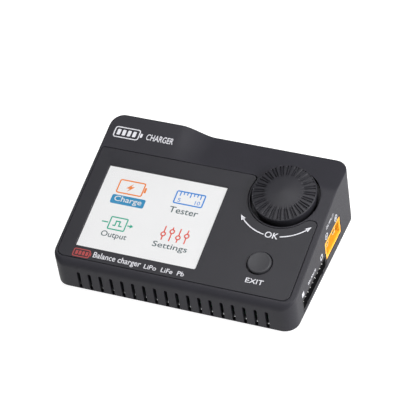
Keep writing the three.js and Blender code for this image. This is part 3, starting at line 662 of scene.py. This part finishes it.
def vent_slot(x):
    half = SLOT_WIDTH / 2
    low, high = BOTTOM + SLOT_SILL, BOTTOM + SLOT_HEIGHT

    def outline(grow=0.0):
        r = half + grow
        return arc(x, -(high - half), r, math.pi, 2 * math.pi, 8) + [(x + r, -low), (x - r, -low)]
    levels = [(-HALF_DEPTH - 1, 0.07), (-HALF_DEPTH, 0.06), (-HALF_DEPTH + 0.06, 0.0),
              (WALL + 1 - HALF_DEPTH, 0.0)]
    return slab("slot", outline, levels, along_y())


def grille_cutters():
    fan = middle("fan_frame")
    throat = halves("fan_frame").x - 1.7
    pitch, half, post = 4.3, 1.3, 0.9
    inner_face = HALF_DEPTH - WALL
    cutters = []
    for row in range(-2, 3):
        reach = math.sqrt(throat ** 2 - (abs(row) * pitch + half * 0.5) ** 2)
        for side in (-1, 1):
            x0, x1 = sorted((side * post, side * reach))
            height = row * pitch - fan.z
            outline = rounded(fan.x + x0, fan.x + x1, height - half, height + half, 0.9, 4)
            levels = opened(inner_face - 1, HALF_DEPTH, 0.25, 0.2)
            cutters.append(slab("grille", outline, levels, along_y()))
    for screw in ("fan_screw_1", "fan_screw_2"):
        spot = middle(screw)
        levels = opened(inner_face - 1, HALF_DEPTH, 0.3, 0.3)
        cutters.append(slab("screw", circle(spot.x, -spot.z, 1.3, 24), levels, along_y()))
    return cutters


def socket_cutter(node, side):
    place, half, _, _ = measure_socket(node, side)
    y, z = half.y + 0.15, half.z + 0.15
    levels = opened(HALF_WIDTH - WALL - 1, HALF_WIDTH, 0.25, 0.2)
    return slab("port", rounded(-y, y, -z, z, 0.25, 3), levels, place)


def make_case():
    shell = roofed_body("case", 0.0, BOTTOM, 0.0, EDGES, 0.12)
    combine(shell, roofed_body("hollow", WALL, BOTTOM - 1, ROOF, (0.3, 0.3, 0.3), 0.0))
    cup_levels = [(-WELL_DEPTH - WELL_FLOOR, 0.0), (-2.8, 0.0)]
    combine(shell, slab("cup", circle(KNOB_X, KNOB_S, WELL_RADIUS + 0.7, 96), cup_levels, PANEL),
            "UNION")
    plate_low, plate_high = span("front_panel", NORMAL)
    depth = plate_high - plate_low + SEAM_GAP
    cutters = [slab("recess", panel_outline, flared(-depth, 4.0, SEAM_GAP, SEAM_BREAK), PANEL),
               slab("well", circle(KNOB_X, KNOB_S, WELL_RADIUS, 96),
                    flared(-WELL_DEPTH, 6.0, 0.0, SEAM_BREAK), PANEL)]
    cutters += [vent_slot(SLOT_FIRST + i * SLOT_PITCH) for i in range(SLOTS)]
    cutters += grille_cutters()
    cutters += [socket_cutter(node, side) for node, side in (
        ("output_socket", 1), ("balance_header", 1), ("input_socket", -1), ("usb_shell", -1))]
    combine(shell, join("cutters", cutters))
    display_low, display_high = box("display_module")
    front, rear = on_panel("display_module", SLOPE)
    display_door = rounded(display_low.x, display_high.x, front, rear, 0.1)
    doors = [slab("door", outline, [(-8, gap), (top, gap)], PANEL)
             for outline, gap, top in ((display_door, 0.4, 0.4 - depth),
                                       (circle(BUTTON_X, BUTTON_S, 6.4), 0.0, 0.4 - depth),
                                       (circle(KNOB_X, KNOB_S, 3.8, 32), 0.0, -2))]
    combine(shell, join("doors", doors))
    split_big_faces(shell)
    dress(shell, CASE_PLASTIC, "case", "case_plastic", "case_shell")


# --- Front panel, window and screen ---
def make_front_panel():
    low, high = on_panel("front_panel", NORMAL)
    plate = slab("face_plate", panel_outline, eased(low, high, top=SEAM_BREAK), PANEL)
    left, right = (end.x for end in box("display_window"))
    window = rounded(left, right, *on_panel("display_window", SLOPE), 0.5)
    cutters = [slab("opening", window, flared(-3.0, 1.0, 0.12, 0.1), PANEL),
               slab("opening", circle(BUTTON_X, BUTTON_S, 4.9), flared(-3.0, 1.0, 0.0, 0.25),
                    PANEL)]
    combine(plate, join("openings", cutters))
    dress(plate, PANEL_PLASTIC, "case", "panel_plastic", "front_panel")
    bottom, top = on_panel("display_window", NORMAL)
    lens = slab("window", window, eased(bottom, top, top=0.06, steps=2), PANEL)
    dress(lens, CLEAR, "case", "clear_window", "display_window")


# --- Flat art: strokes, fills and words, each a closed sheet of ink ---
def stroke(points, width, closed=False):
    """A line of even width through points, as one closed sheet."""
    path = [Vector(point) for point in points]
    count = len(path)
    corners = []
    for i, point in enumerate(path):
        ahead = path[(i + 1) % count] - point if closed or i < count - 1 else point - path[i - 1]
        behind = point - path[i - 1] if closed or i > 0 else ahead
        one = Vector((-behind.y, behind.x)).normalized()
        two = Vector((-ahead.y, ahead.x)).normalized()
        across = (one + two).normalized()
        reach = across * (width / 2 / max(across.dot(one), 0.5))
        for edge, height in ((point - reach, 0), (point + reach, 0), (point + reach, INK),
                             (point - reach, INK)):
            corners.append((edge.x, edge.y, height))
    faces = []
    for i in range(count if closed else count - 1):
        here, there = 4 * i, 4 * ((i + 1) % count)
        for side in range(4):
            other = (side + 1) % 4
            faces.append((here + side, here + other, there + other, there + side))
    if not closed:
        faces += [(3, 2, 1, 0), tuple(range(4 * count - 4, 4 * count))]
    return make("stroke", corners, faces)


def patch(points):
    """A filled shape."""
    return slab("patch", lambda grow: points, [(0, 0), (INK, 0)])


def words(text, x0, x1, y0, y1):
    """Plain lettering that fills the space from x0 to x1 and y0 to y1."""
    curve = bpy.data.curves.new("words", "FONT")
    curve.body = text
    curve.extrude = 0.5
    curve.offset = 0.007
    curve.resolution_u = 3
    writing = link(bpy.data.objects.new("words", curve))
    mesh = baked(writing)
    bpy.data.objects.remove(writing)
    shape = bmesh.new()
    shape.from_mesh(mesh)
    bmesh.ops.remove_doubles(shape, verts=shape.verts, dist=1e-5)
    spots = [vertex.co for vertex in shape.verts]
    left, right = min(spot.x for spot in spots), max(spot.x for spot in spots)
    low, high = min(spot.y for spot in spots), max(spot.y for spot in spots)
    points = [(x0 + (spot.x - left) / (right - left) * (x1 - x0),
               y0 + (spot.y - low) / (high - low) * (y1 - y0), (spot.z + 0.5) * INK)
              for spot in spots]
    faces = [tuple(vertex.index for vertex in face.verts) for face in shape.faces]
    shape.free()
    return make("words", points, faces)


def box_line(x0, x1, y0, y1, radius, width):
    return stroke(rounded(x0, x1, y0, y1, radius, 4)(), width, closed=True)


def block(x0, x1, y0, y1, radius=0.1):
    return patch(rounded(x0, x1, y0, y1, radius, 3)())


def arrow(tip, direction, length, width):
    """A filled arrowhead that points along direction (radians)."""
    along = Vector((math.cos(direction), math.sin(direction)))
    across = Vector((-along.y, along.x))
    back = Vector(tip) - along * length
    return patch([tuple(tip), tuple(back + across * width / 2), tuple(back - across * width / 2)])


def print_art(name, pieces, material, matrix, body="case"):
    sheet = join(name, pieces)
    for move in (Matrix.Scale(1 / MM, 4), matrix, Matrix.Scale(MM, 4)):
        sheet.data.transform(move)
    sheet.data.materials.append(material)
    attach(sheet, body)


def make_panel_legends():
    radius, tip_left, tip_right = 17.9, math.radians(-140.7), math.radians(-37.2)
    gap_left = math.acos((28.0 - KNOB_X) / radius)
    gap_right = math.acos((34.4 - KNOB_X) / radius)
    back, line = 0.08, 0.42
    white = [stroke(arc(KNOB_X, KNOB_S, radius, tip_left + back, -gap_left, 20), line),
             stroke(arc(KNOB_X, KNOB_S, radius, -gap_right, tip_right - back, 20), line)]
    for turn, way in ((tip_left, -1), (tip_right, 1)):
        tip = (KNOB_X + radius * math.cos(turn), KNOB_S + radius * math.sin(turn))
        white.append(arrow(tip, turn + way * (math.pi / 2 - 0.06), 2.3, 1.8))
    white += [words("OK", 28.5, 33.8, 27.5, 30.1), words("EXIT", 27.9, 34.9, 7.4, 9.4),
              words("Balance charger", -33.0, -13.4, 3.7, 6.9),
              words("LiPo  LiFe  Pb", -11.9, 4.4, 4.3, 6.2)]
    print_art("legend_white", white, WHITE_INK, PANEL)
    cells = [block(-40.4 + i * 1.4, -39.4 + i * 1.4, 4.4, 6.2, 0.2) for i in range(4)]
    mark = [box_line(-41.2, -34.6, 3.7, 6.9, 0.6, 0.4), block(-34.3, -33.9, 4.6, 6.0, 0.1)]
    print_art("legend_red", cells + mark, RED_INK, PANEL)


def make_badge():
    low, high = 58.4, 63.0
    art = [box_line(-45.6, -35.2, low, high, 0.9, 0.42),
           block(-34.7, -33.8, low + 1.4, high - 1.4, 0.2)]
    art += [block(-44.5 + i * 2.2, -43.1 + i * 2.2, low + 1.0, high - 1.0, 0.3) for i in range(4)]
    art.append(words("CHARGER", -32.0, -20.6, low + 0.9, high - 0.9))
    print_art("badge", art, WHITE_INK, PANEL)


def make_side_legends():
    art = []
    high, arm, line, gap = 16.5, 0.75, 0.2, 0.02
    for y, plus in ((14.3, True), (4.2, False)):
        art += [stroke(circle(y, high, 1.25, 24)(), 0.3, closed=True),
                block(y - arm, y + arm, high - line, high + line)]
        if plus:
            art += [block(y - line, y + line, high + line + gap, high + arm),
                    block(y - line, y + line, high - arm, high - line - gap)]
    art += [words("OUTPUT", 4.6, 12.6, 19.3, 20.7), box_line(-3.4, -1.5, 10.9, 12.7, 0.15, 0.4),
            block(-23.3, -21.3, 10.8, 12.8), words("BALANCE", -16.9, -8.9, 11.2, 12.5)]
    print_art("legend_output", art, WHITE_INK, Matrix.Translation((HALF_WIDTH, 0, 0)) @ along_x())
    input_y, usb_y = -middle("input_socket").y, -middle("usb_shell").y
    art = [words("INPUT", input_y - 3.6, input_y + 3.6, 18.0, 19.3),
           words("USB", usb_y - 2.2, usb_y + 2.2, 14.8, 16.1)]
    print_art("legend_input", art, WHITE_INK,
              Matrix.Translation((-HALF_WIDTH, 0, 0)) @ along_x(turned=True))


def make_screen_art():
    top = on_panel("display_glass", NORMAL)[1]
    place = PANEL @ Matrix.Translation((0, 0, top))
    thin, bold = 0.52, 0.55

    def icon(name, tint, color, pieces, lift=0.0):
        spot = place @ Matrix.Translation((0, 0, lift))
        print_art(f"screen_{name}", pieces, lit_screen(tint, color), spot)

    bolt = [(-29.2, 39.3), (-31.6, 36.9), (-30.1, 36.9), (-30.9, 35.4), (-28.3, 37.9),
            (-29.8, 37.9)]
    icon("orange", "orange", (1.0, 0.24, 0.0),
         [box_line(-35.0, -24.6, 34.5, 40.3, 0.6, bold), block(-24.2, -23.4, 36.2, 38.6, 0.3),
          patch(bolt)])
    ruler = [box_line(-11.2, 0.4, 34.8, 40.2, 0.5, bold)]
    ruler += [stroke([(i * 1.4 - 9.6, 40.0), (i * 1.4 - 9.6, 38.9 - (i % 3 == 0) * 0.8)], 0.45)
              for i in range(7)]
    ruler += [words("5", -9.9, -8.7, 35.5, 37.2), words("10", -2.8, -0.7, 35.5, 37.2)]
    tile = [block(-35.9, -21.9, 29.4, 33.4, 0.7)]
    icon("blue", "blue", (0.01, 0.26, 0.80), ruler)
    icon("tile", "teal_blue", (0.0, 0.28, 0.56), tile)
    icon("white", "white", (0.85, 0.87, 0.88), [words("Charge", -34.6, -23.2, 29.9, 33.0)], INK)
    pulse = [(-30.9, 20.0), (-29.9, 20.0), (-29.9, 22.0), (-28.3, 22.0), (-28.3, 20.0),
             (-27.1, 20.0)]
    icon("green", "green", (0.0, 0.46, 0.29),
         [box_line(-32.4, -25.6, 18.2, 23.6, 0.4, thin),
          stroke([(-35.6, 20.9), (-33.0, 20.9)], thin),
          stroke([(-25.0, 20.9), (-23.8, 20.9)], thin), arrow((-22.6, 20.9), 0.0, 1.3, 1.9),
          stroke(pulse, thin)])
    sliders = []
    for i, height in enumerate((20.6, 22.3, 20.2, 21.6)):
        x, knob = -10.0 + i * 3.1, 0.85
        sliders += [stroke([(x, 18.0), (x, height - 0.9)], thin),
                    stroke([(x, height + 0.9), (x, 24.2)], thin),
                    stroke(arc(x, height, knob, 0, 2 * math.pi, 16)[:-1], thin, closed=True)]
    icon("red", "red", (0.86, 0.07, 0.03), sliders)
    icon("dark", "slate", (0.04, 0.09, 0.10),
         [words("Tester", -11.6, 0.2, 30.4, 33.1), words("Output", -34.0, -23.4, 13.9, 17.1),
          words("Settings", -12.6, 1.6, 13.9, 17.1)])


# --- Knob and exit button ---
def make_knob():
    base, crown = on_panel("knob", NORMAL)
    radius = halves("knob").x
    bore, bore_top = 3.1, crown - 1.5
    disc, rib_end, rim_end = 7.1, radius - 0.4, radius - 0.3
    fall, blunting, droop, rim_drop = 0.13, 2.0, 0.004, 0.75

    def top(r):
        """A blunt cone that droops a little outside the disc."""
        return crown - fall * (math.hypot(r, blunting) - blunting) - droop * max(r - disc, 0.0) ** 2

    def groove(r, angle, height):
        """Two grooves in each of the equal shares of a turn, on the upper side only."""
        if height < 0.5 * crown:
            return 0.0
        share = 2 * math.pi / KNOB_RIBS
        spot = (angle / share - KNOB_PHASE + 0.5) % 1.0 - 0.5
        cut = max(1 - (abs(abs(spot) - GROOVE_OFFSET) / GROOVE_HALF_WIDTH) ** 2, 0.0) ** 0.7
        fade = smooth(r, disc, disc + 0.9) * (1 - smooth(r, rib_end - 0.25, rib_end))
        return -GROOVE_DEPTH * cut * fade

    shoulder = top(rim_end)
    profile = [(0, bore_top), (bore, bore_top), (bore, base), (radius - 0.7, base),
               (radius - 0.5, base + 0.2)]
    profile += [(radius - 0.4, 0.0), (radius, shoulder - rim_drop)]
    profile += [(rim_end + (radius - rim_end) * math.cos(turn),
                 shoulder - rim_drop + rim_drop * math.sin(turn))
                for turn in quarter_turns(6)[1:-1]]
    radii = (rim_end, rib_end, rib_end - 0.12, rib_end - 0.25, 11.0, 10.2, 9.4, 8.7, 8.4, 8.0,
             7.7, 7.4, disc, 5.4, 3.8, 2.6, 1.7, 0.9)
    profile += [(r, top(r)) for r in radii]
    profile.append((0, crown))
    place = PANEL @ Matrix.Translation((KNOB_X, KNOB_S, 0))
    knob = lathe("knob_ribbed", profile, place, KNOB_RIBS * 20, groove)
    dress(knob, KNOB_PLASTIC, "knob", "knob_plastic", "knob")


def make_button():
    stem, crown = on_panel("exit_button", NORMAL)
    edge, radius, dish = 0.5, 4.6, 0.22
    profile = [(0, stem), (1.5, stem), (1.5, -2.9), (5.4, -2.9), (5.6, -2.7), (5.6, -2.1),
               (5.4, -1.9)]
    profile += [(3.4, -1.9), (3.4, -1.4), (radius, -1.4)]
    profile += [(radius - edge + edge * math.cos(turn), crown - edge + edge * math.sin(turn))
                for turn in quarter_turns(6)]
    profile += [(r, crown - dish * (1 - (r / (radius - edge)) ** 2))
                for r in (3.8, 3.2, 2.4, 1.6, 0.8)]
    profile.append((0, crown - dish))
    place = PANEL @ Matrix.Translation((BUTTON_X, BUTTON_S, 0))
    cap = lathe("button_cap", profile, place, 72)
    dress(cap, BUTTON_PLASTIC, "exit_button", "button_plastic", "exit_button")


# --- Sockets ---
def keyed_outline(half_y, half_z, chamfer, radius=0.35):
    """The power socket's cavity: a rectangle with the two corners of one end cut off."""
    def outline(grow=0.0):
        y, z, cut = half_y + grow, half_z + grow, chamfer + grow / 2
        corners = [(cut - y, -z), (y, -z), (y, z), (cut - y, z), (-y, z - cut), (-y, cut - z)]
        points = []
        for i, corner in enumerate(corners):
            before, after = Vector(corners[i - 1]), Vector(corners[(i + 1) % 6])
            here = Vector(corner)
            start = here + (before - here).normalized() * radius
            end = here + (after - here).normalized() * radius
            points += ease_corner(start, here, end, 4)
        return points
    return outline


def measure_socket(node, side=1):
    """A socket's placement, half size, and inner and outer end; side is the side it opens to."""
    spot = middle(node)
    return along_x(spot.y, spot.z, side < 0), halves(node), *from_middle(node)


def make_power_socket(name, side):
    place, half, rear, mouth = measure_socket(f"{name}_socket", side)
    outline = rounded(-half.y, half.y, -half.z, half.z, 0.3, 4)
    housing = slab("housing", outline, eased(rear, mouth, top=0.2), place)
    rim, depth = 0.95, 9.0
    inside = keyed_outline(half.y - rim, half.z - rim, 1.2)
    cutters = [slab("cavity", inside, opened(mouth - depth, mouth, 0.35, 0.25), place)]
    spacing = POWER_PIN_SPACING / 2
    levels = [(rear - 1, 0.0), (mouth - depth + 0.5, 0.0)]
    cutters += [slab("hole", circle(y, 0, 1.8, 40), levels, place) for y in (-spacing, spacing)]
    combine(housing, join("cutters", cutters))
    dress(housing, YELLOW_PLASTIC, "case", "connector_yellow", f"{name}_socket")
    for end, y in (("front", -spacing), ("rear", spacing)):
        tail, tip = from_middle(f"{name}_pin_{end}")
        profile = [(0, tail), (1.6, tail), (1.75, tail + 0.2), (1.75, tip - 0.3),
                   (1.68, tip - 0.08), (1.5, tip), (1.3, tip), (1.12, tip - 0.1),
                   (1.05, tip - 0.35), (1.05, tip - 6.9), (0, tip - 6.9)]
        pin = lathe(f"{name}_contact_{end}", profile, place @ Matrix.Translation((y, 0, 0)), 40)
        dress(pin, GOLD, "case", "contact_metal", f"{name}_pin_{end}")


def make_balance_header():
    place, half, rear, mouth = measure_socket("balance_header")
    rim, floor = 0.75, 1.6
    outline = rounded(-half.y, half.y, -half.z, half.z, 0.2, 3)
    housing = slab("header", outline, eased(rear, mouth, top=0.2), place)
    inside = rounded(rim - half.y, half.y - rim, rim - half.z, half.z - rim, 0.2, 3)
    cutters = [slab("cavity", inside, opened(rear + floor, mouth, 0.35, 0.2), place)]
    for side in (-1, 1):
        key = rounded(side * 7.6 - 0.8, side * 7.6 + 0.8, -half.z - 1, -half.z + rim + 0.2, 0.1, 2)
        cutters.append(slab("key", key, [(mouth - 4.5, 0.0), (mouth + 1, 0.0)], place))
    combine(housing, join("cutters", cutters))
    dress(housing, BLACK_PLASTIC, "case", "black_plastic", "balance_header")
    for i in range(1, BALANCE_PINS + 1):
        node = f"balance_pin_{i}"
        y, thick = middle(node).y - middle("balance_header").y, halves(node).y
        tail, tip = from_middle(node)
        levels = [(tail, 0.0), (tip - 0.5, 0.0), (tip - 0.1, -0.14), (tip, -0.2)]
        pin = slab(f"header_pin_{i}", rounded(y - thick, y + thick, -thick, thick, 0.05, 2), levels,
                   place)
        dress(pin, TIN, "case", "tinned_pin", node)


def make_usb_socket():
    place, half, rear, mouth = measure_socket("usb_shell", -1)
    wall, floor = 0.5, 1.2
    shell = slab("usb_shell_sheet", rounded(-half.y, half.y, -half.z, half.z, 0.8, 5),
                 eased(rear, mouth, top=0.12, steps=2), place)
    inside = rounded(wall - half.y, half.y - wall, wall - half.z, half.z - wall, 0.4, 4)
    cutters = [slab("cavity", inside, opened(rear + floor, mouth, 0.3, 0.15), place)]
    for side in (-1, 1):
        spring = rounded(side * 3.4 - 0.9, side * 3.4 + 0.9, half.z - 1.2, half.z + 1, 0.1, 2)
        cutters.append(slab("spring", spring, [(mouth - 7.0, 0.0), (mouth - 3.2, 0.0)], place))
    combine(shell, join("cutters", cutters))
    dress(shell, STEEL, "case", "sheet_steel", "usb_shell")
    low, high = (end.z - middle("usb_shell").z for end in box("usb_tongue"))
    width = halves("usb_tongue").y
    rear, tip = from_middle("usb_tongue")
    tongue = slab("usb_tongue_bar", rounded(-width, width, low, high, 0.25, 3),
                  eased(rear, tip, top=0.25), place)
    dress(tongue, BLACK_PLASTIC, "case", "black_plastic", "usb_tongue")
    strips = []
    for i in range(4):
        y = (i - 1.5) * 2.3
        strip = rounded(y - 0.45, y + 0.45, low - 0.12, low - 0.01, 0.03, 2)
        strips.append(slab("strip", strip, [(rear + 0.5, 0.0), (tip - 0.9, 0.0)], place))
    dress(join("usb_contacts", strips), GOLD, "case", "contact_metal")


# --- Fan ---
def make_fan():
    spot, half = middle("fan_frame"), halves("fan_frame").x
    front, rear = (end.y for end in box("fan_frame"))
    place = along_y(spot.x, spot.z)
    bore = half - 0.9
    outline = rounded(-half, half, -half, half, 2.0)
    housing = slab("fan_housing", outline, eased(front, rear, 0.25, 0.25), place)
    levels = [(front - 1, 0.5), (front, 0.5), (front + 0.5, 0.0), (rear - 0.5, 0.0), (rear, 0.5),
              (rear + 1, 0.5)]
    combine(housing, slab("bore", circle(0, 0, bore, 96), levels, place))
    mount = [slab("motor", circle(0, 0, 6.2, 64), eased(front, front + 1.2, 0.1, 0.1), place)]
    for i in range(3):
        turn = Matrix.Rotation(2 * math.pi * i / 3 + math.pi / 2, 4, "Z")
        arm = rounded(4.0, bore + 0.5, -0.7, 0.7, 0.05, 2)
        mount.append(slab("arm", arm, [(front + 0.1, 0), (front + 1.1, 0)], place @ turn))
    mount.append(slab("pillar", circle(0, 0, 1.0, 24), [(front, 0), (rear - 1.8, 0)], place))
    for piece in mount:
        combine(housing, piece, "UNION")
    corners = [slab("hole", circle(sx * 10.0, sy * 10.0, 1.2, 32), [(front - 1, 0), (rear + 1, 0)],
                    place)
               for sx in (-1, 1) for sy in (-1, 1)]
    combine(housing, join("holes", corners))
    dress(housing, BLACK_PLASTIC, "case", "black_plastic", "fan_frame")


def make_fan_rotor():
    front, rear = (end.y for end in box("fan_rotor"))
    spot = Vector(joints["fan_spin"]["pos_m"]) / MM
    place = along_y(spot.x, spot.z)
    reach, hub = halves("fan_rotor").x, 6.2
    profile = [(0, rear - 0.8), (1.3, rear - 0.8), (1.3, front), (hub - 0.2, front),
               (hub, front + 0.2), (hub, rear - 0.7), (hub - 0.2, rear - 0.2), (hub - 0.7, rear),
               (2.6, rear), (2.3, rear - 0.15), (0, rear - 0.15)]
    rotor = lathe("fan_impeller", profile, place, 72)
    blades, stations = 7, 6
    section = ((0, 0), (0.2, 1), (0.5, 1.2), (0.8, 0.8), (1, 0), (0.8, -0.8), (0.5, -1.2),
               (0.2, -1))
    for blade in range(blades):
        rings = []
        for station in range(stations):
            share = station / (stations - 1)
            radius = hub - 0.5 + (reach - 0.05 - hub + 0.5) * share
            chord = math.radians(44 + 3 * share)
            start = 2 * math.pi * blade / blades + math.radians(26) * share ** 1.5
            ring = []
            for along, thick in section:
                angle = start + chord * along
                pitch = 0.25 * along + 0.75 * along ** 1.6
                height = front + 0.45 + (rear - front - 0.9) * pitch + 0.27 * thick
                ring.append((radius * math.cos(angle), radius * math.sin(angle), height))
            rings.append(ring)
        combine(rotor, make("blade", *skin(rings), place), "UNION")
    dress(rotor, BLACK_PLASTIC, "fan_impeller", "black_plastic", "fan_rotor")


# --- Underside: plate, feet and screws ---
def make_bottom_plate():
    low, high = box("bottom_plate")
    outline = rounded(low.x, high.x, low.y, high.y, CORNER - HALF_WIDTH - low.x)
    plate = slab("bottom_cover", outline, eased(low.z, high.z, bottom=0.2))
    fan_low, fan_high = box("fan_frame")
    notch = rounded(low.x - 1, fan_high.x + 0.3, fan_low.y - 0.5, high.y + 3, 0.4)
    cutters = [slab("notch", notch, [(low.z - 1, 0.0), (high.z + 1, 0.0)])]
    levels = [(low.z - 1, 0.1), (low.z, 0.1), (low.z + 0.15, -0.1), (high.z + 1, -0.1)]
    for i in range(1, 5):
        spot = middle(f"case_screw_{i}")
        cutters.append(slab("hole", circle(spot.x, spot.y, 2.7, 48), levels))
    combine(plate, join("cutters", cutters))
    dress(plate, ALUMINIUM, "case", "aluminium", "bottom_plate")


def make_foot(corner):
    spot, radius = middle(f"foot_{corner}"), halves(f"foot_{corner}").x
    top = BOTTOM - 0.02
    profile = [(0, 0.25), (2.6, 0.25), (2.9, 0.0), (3.9, 0.0), (4.35, 0.12), (4.55, 0.45),
               (radius, top), (0, top)]
    place = Matrix.Translation((spot.x, spot.y, 0))
    dress(lathe(f"pad_{corner}", profile, place, 56), RUBBER, "case", "rubber", f"foot_{corner}")


def make_screw(name, node, place, head, thickness, shank, length):
    """A pan-head screw with a cross recess; its head starts at z 0 of place, its shank runs up."""
    profile = [(0, 0.0), (head * 0.55, 0.02), (head * 0.85, 0.14), (head, 0.4), (head, thickness),
               (shank, thickness), (shank, length - 0.5), (shank * 0.5, length), (0, length)]
    screw = lathe(name, profile, place, 40)
    arm, width = head * 0.62, head * 0.17
    slot = rounded(-arm, arm, -width, width, 0.08, 2)
    levels = [(-0.5, 0.05), (0.05, 0.03), (thickness * 0.7, -0.08)]
    for turn in (0.0, math.pi / 2):
        combine(screw, slab("bar", slot, levels, place @ Matrix.Rotation(turn, 4, "Z")))
    dress(screw, STEEL, "case", "sheet_steel", node)


def make_screws():
    for i in range(1, 5):
        node = f"case_screw_{i}"
        low, high = box(node)
        spot = middle(node)
        place = Matrix.Translation((spot.x, spot.y, low.z)) @ Matrix.Rotation(0.4 * i, 4, "Z")
        make_screw(f"cover_screw_{i}", node, place, 2.4, 1.2, 1.25, high.z - low.z)
    for i in (1, 2):
        node = f"fan_screw_{i}"
        low, high = box(node)
        spot = middle(node)
        face = Matrix.Translation((spot.x, high.y, spot.z)) @ Matrix.Rotation(math.pi / 2, 4, "X")
        place = face @ Matrix.Rotation(0.7 * i, 4, "Z")
        make_screw(f"grille_screw_{i}", node, place, 1.15, 1.0, 0.9, high.y - low.y)


dress_frame()
make_case()
make_front_panel()
make_panel_legends()
make_badge()
make_side_legends()
make_screen_art()
make_knob()
make_button()
make_power_socket("output", 1)
make_power_socket("input", -1)
make_balance_header()
make_usb_socket()
make_fan()
make_fan_rotor()
make_bottom_plate()
for corner in ("front_left", "front_right", "rear_left", "rear_right"):
    make_foot(corner)
make_screws()


# --- Floor, light and camera ---
def make_floor():
    outline = rounded(-FLOOR_HALF, FLOOR_HALF, -FLOOR_HALF, FLOOR_HALF, 50)
    floor = slab("floor", outline, [(-12.0, 0.0), (-0.02, 0.0)])
    look = Shader("floor", (FLOOR_ALBEDO,) * 3, 0.75, specular=0.2)
    look.glow(look.vary_color(look.noise(12.0), 0.985, 1.0), FLOOR_GLOW / FLOOR_ALBEDO)
    floor.data.materials.append(look.material)


def aim(thing, place, target, roll=0.0):
    thing.rotation_mode = "QUATERNION"
    thing.location = place * MM
    turn = (target - place).to_track_quat("-Z", "Y")
    thing.rotation_quaternion = turn @ Matrix.Rotation(roll, 3, "Z").to_quaternion()


def make_light(name, place, size, power):
    light = bpy.data.lights.new(name, "AREA")
    light.shape = "RECTANGLE"
    light.size, light.size_y = size[0] * MM, size[1] * MM
    light.energy = power
    aim(link(bpy.data.objects.new(name, light)), Vector(place), Vector((0, 0, 15)))


def make_world(strength):
    world = bpy.data.worlds.new("studio")
    world.use_nodes = True
    background = world.node_tree.nodes["Background"]
    background.inputs["Color"].default_value = (1, 1, 1, 1)
    background.inputs["Strength"].default_value = strength
    bpy.context.scene.world = world


def make_camera():
    azimuth, elevation = math.radians(CAMERA_AZIMUTH), math.radians(CAMERA_ELEVATION)
    back = Vector((math.sin(azimuth) * math.cos(elevation),
                   -math.cos(azimuth) * math.cos(elevation),
                   math.sin(elevation)))
    camera = link(bpy.data.objects.new("camera", bpy.data.cameras.new("camera")))
    camera.data.lens = CAMERA_LENS
    camera.data.clip_start, camera.data.clip_end = 0.05, 20.0
    aim(camera, CAMERA_AIM + back * CAMERA_DISTANCE, CAMERA_AIM, math.radians(CAMERA_ROLL))
    bpy.context.view_layer.update()
    axes = camera.matrix_world.to_3x3()
    camera.location += (axes @ Vector((CAMERA_ASIDE, CAMERA_ABOVE, 0))) * MM
    bpy.context.scene.camera = camera


make_floor()
make_camera()
make_world(WORLD_GLOW)
for light in LIGHTS:
    make_light(*light)
bpy.context.scene.view_settings.view_transform = "Standard"
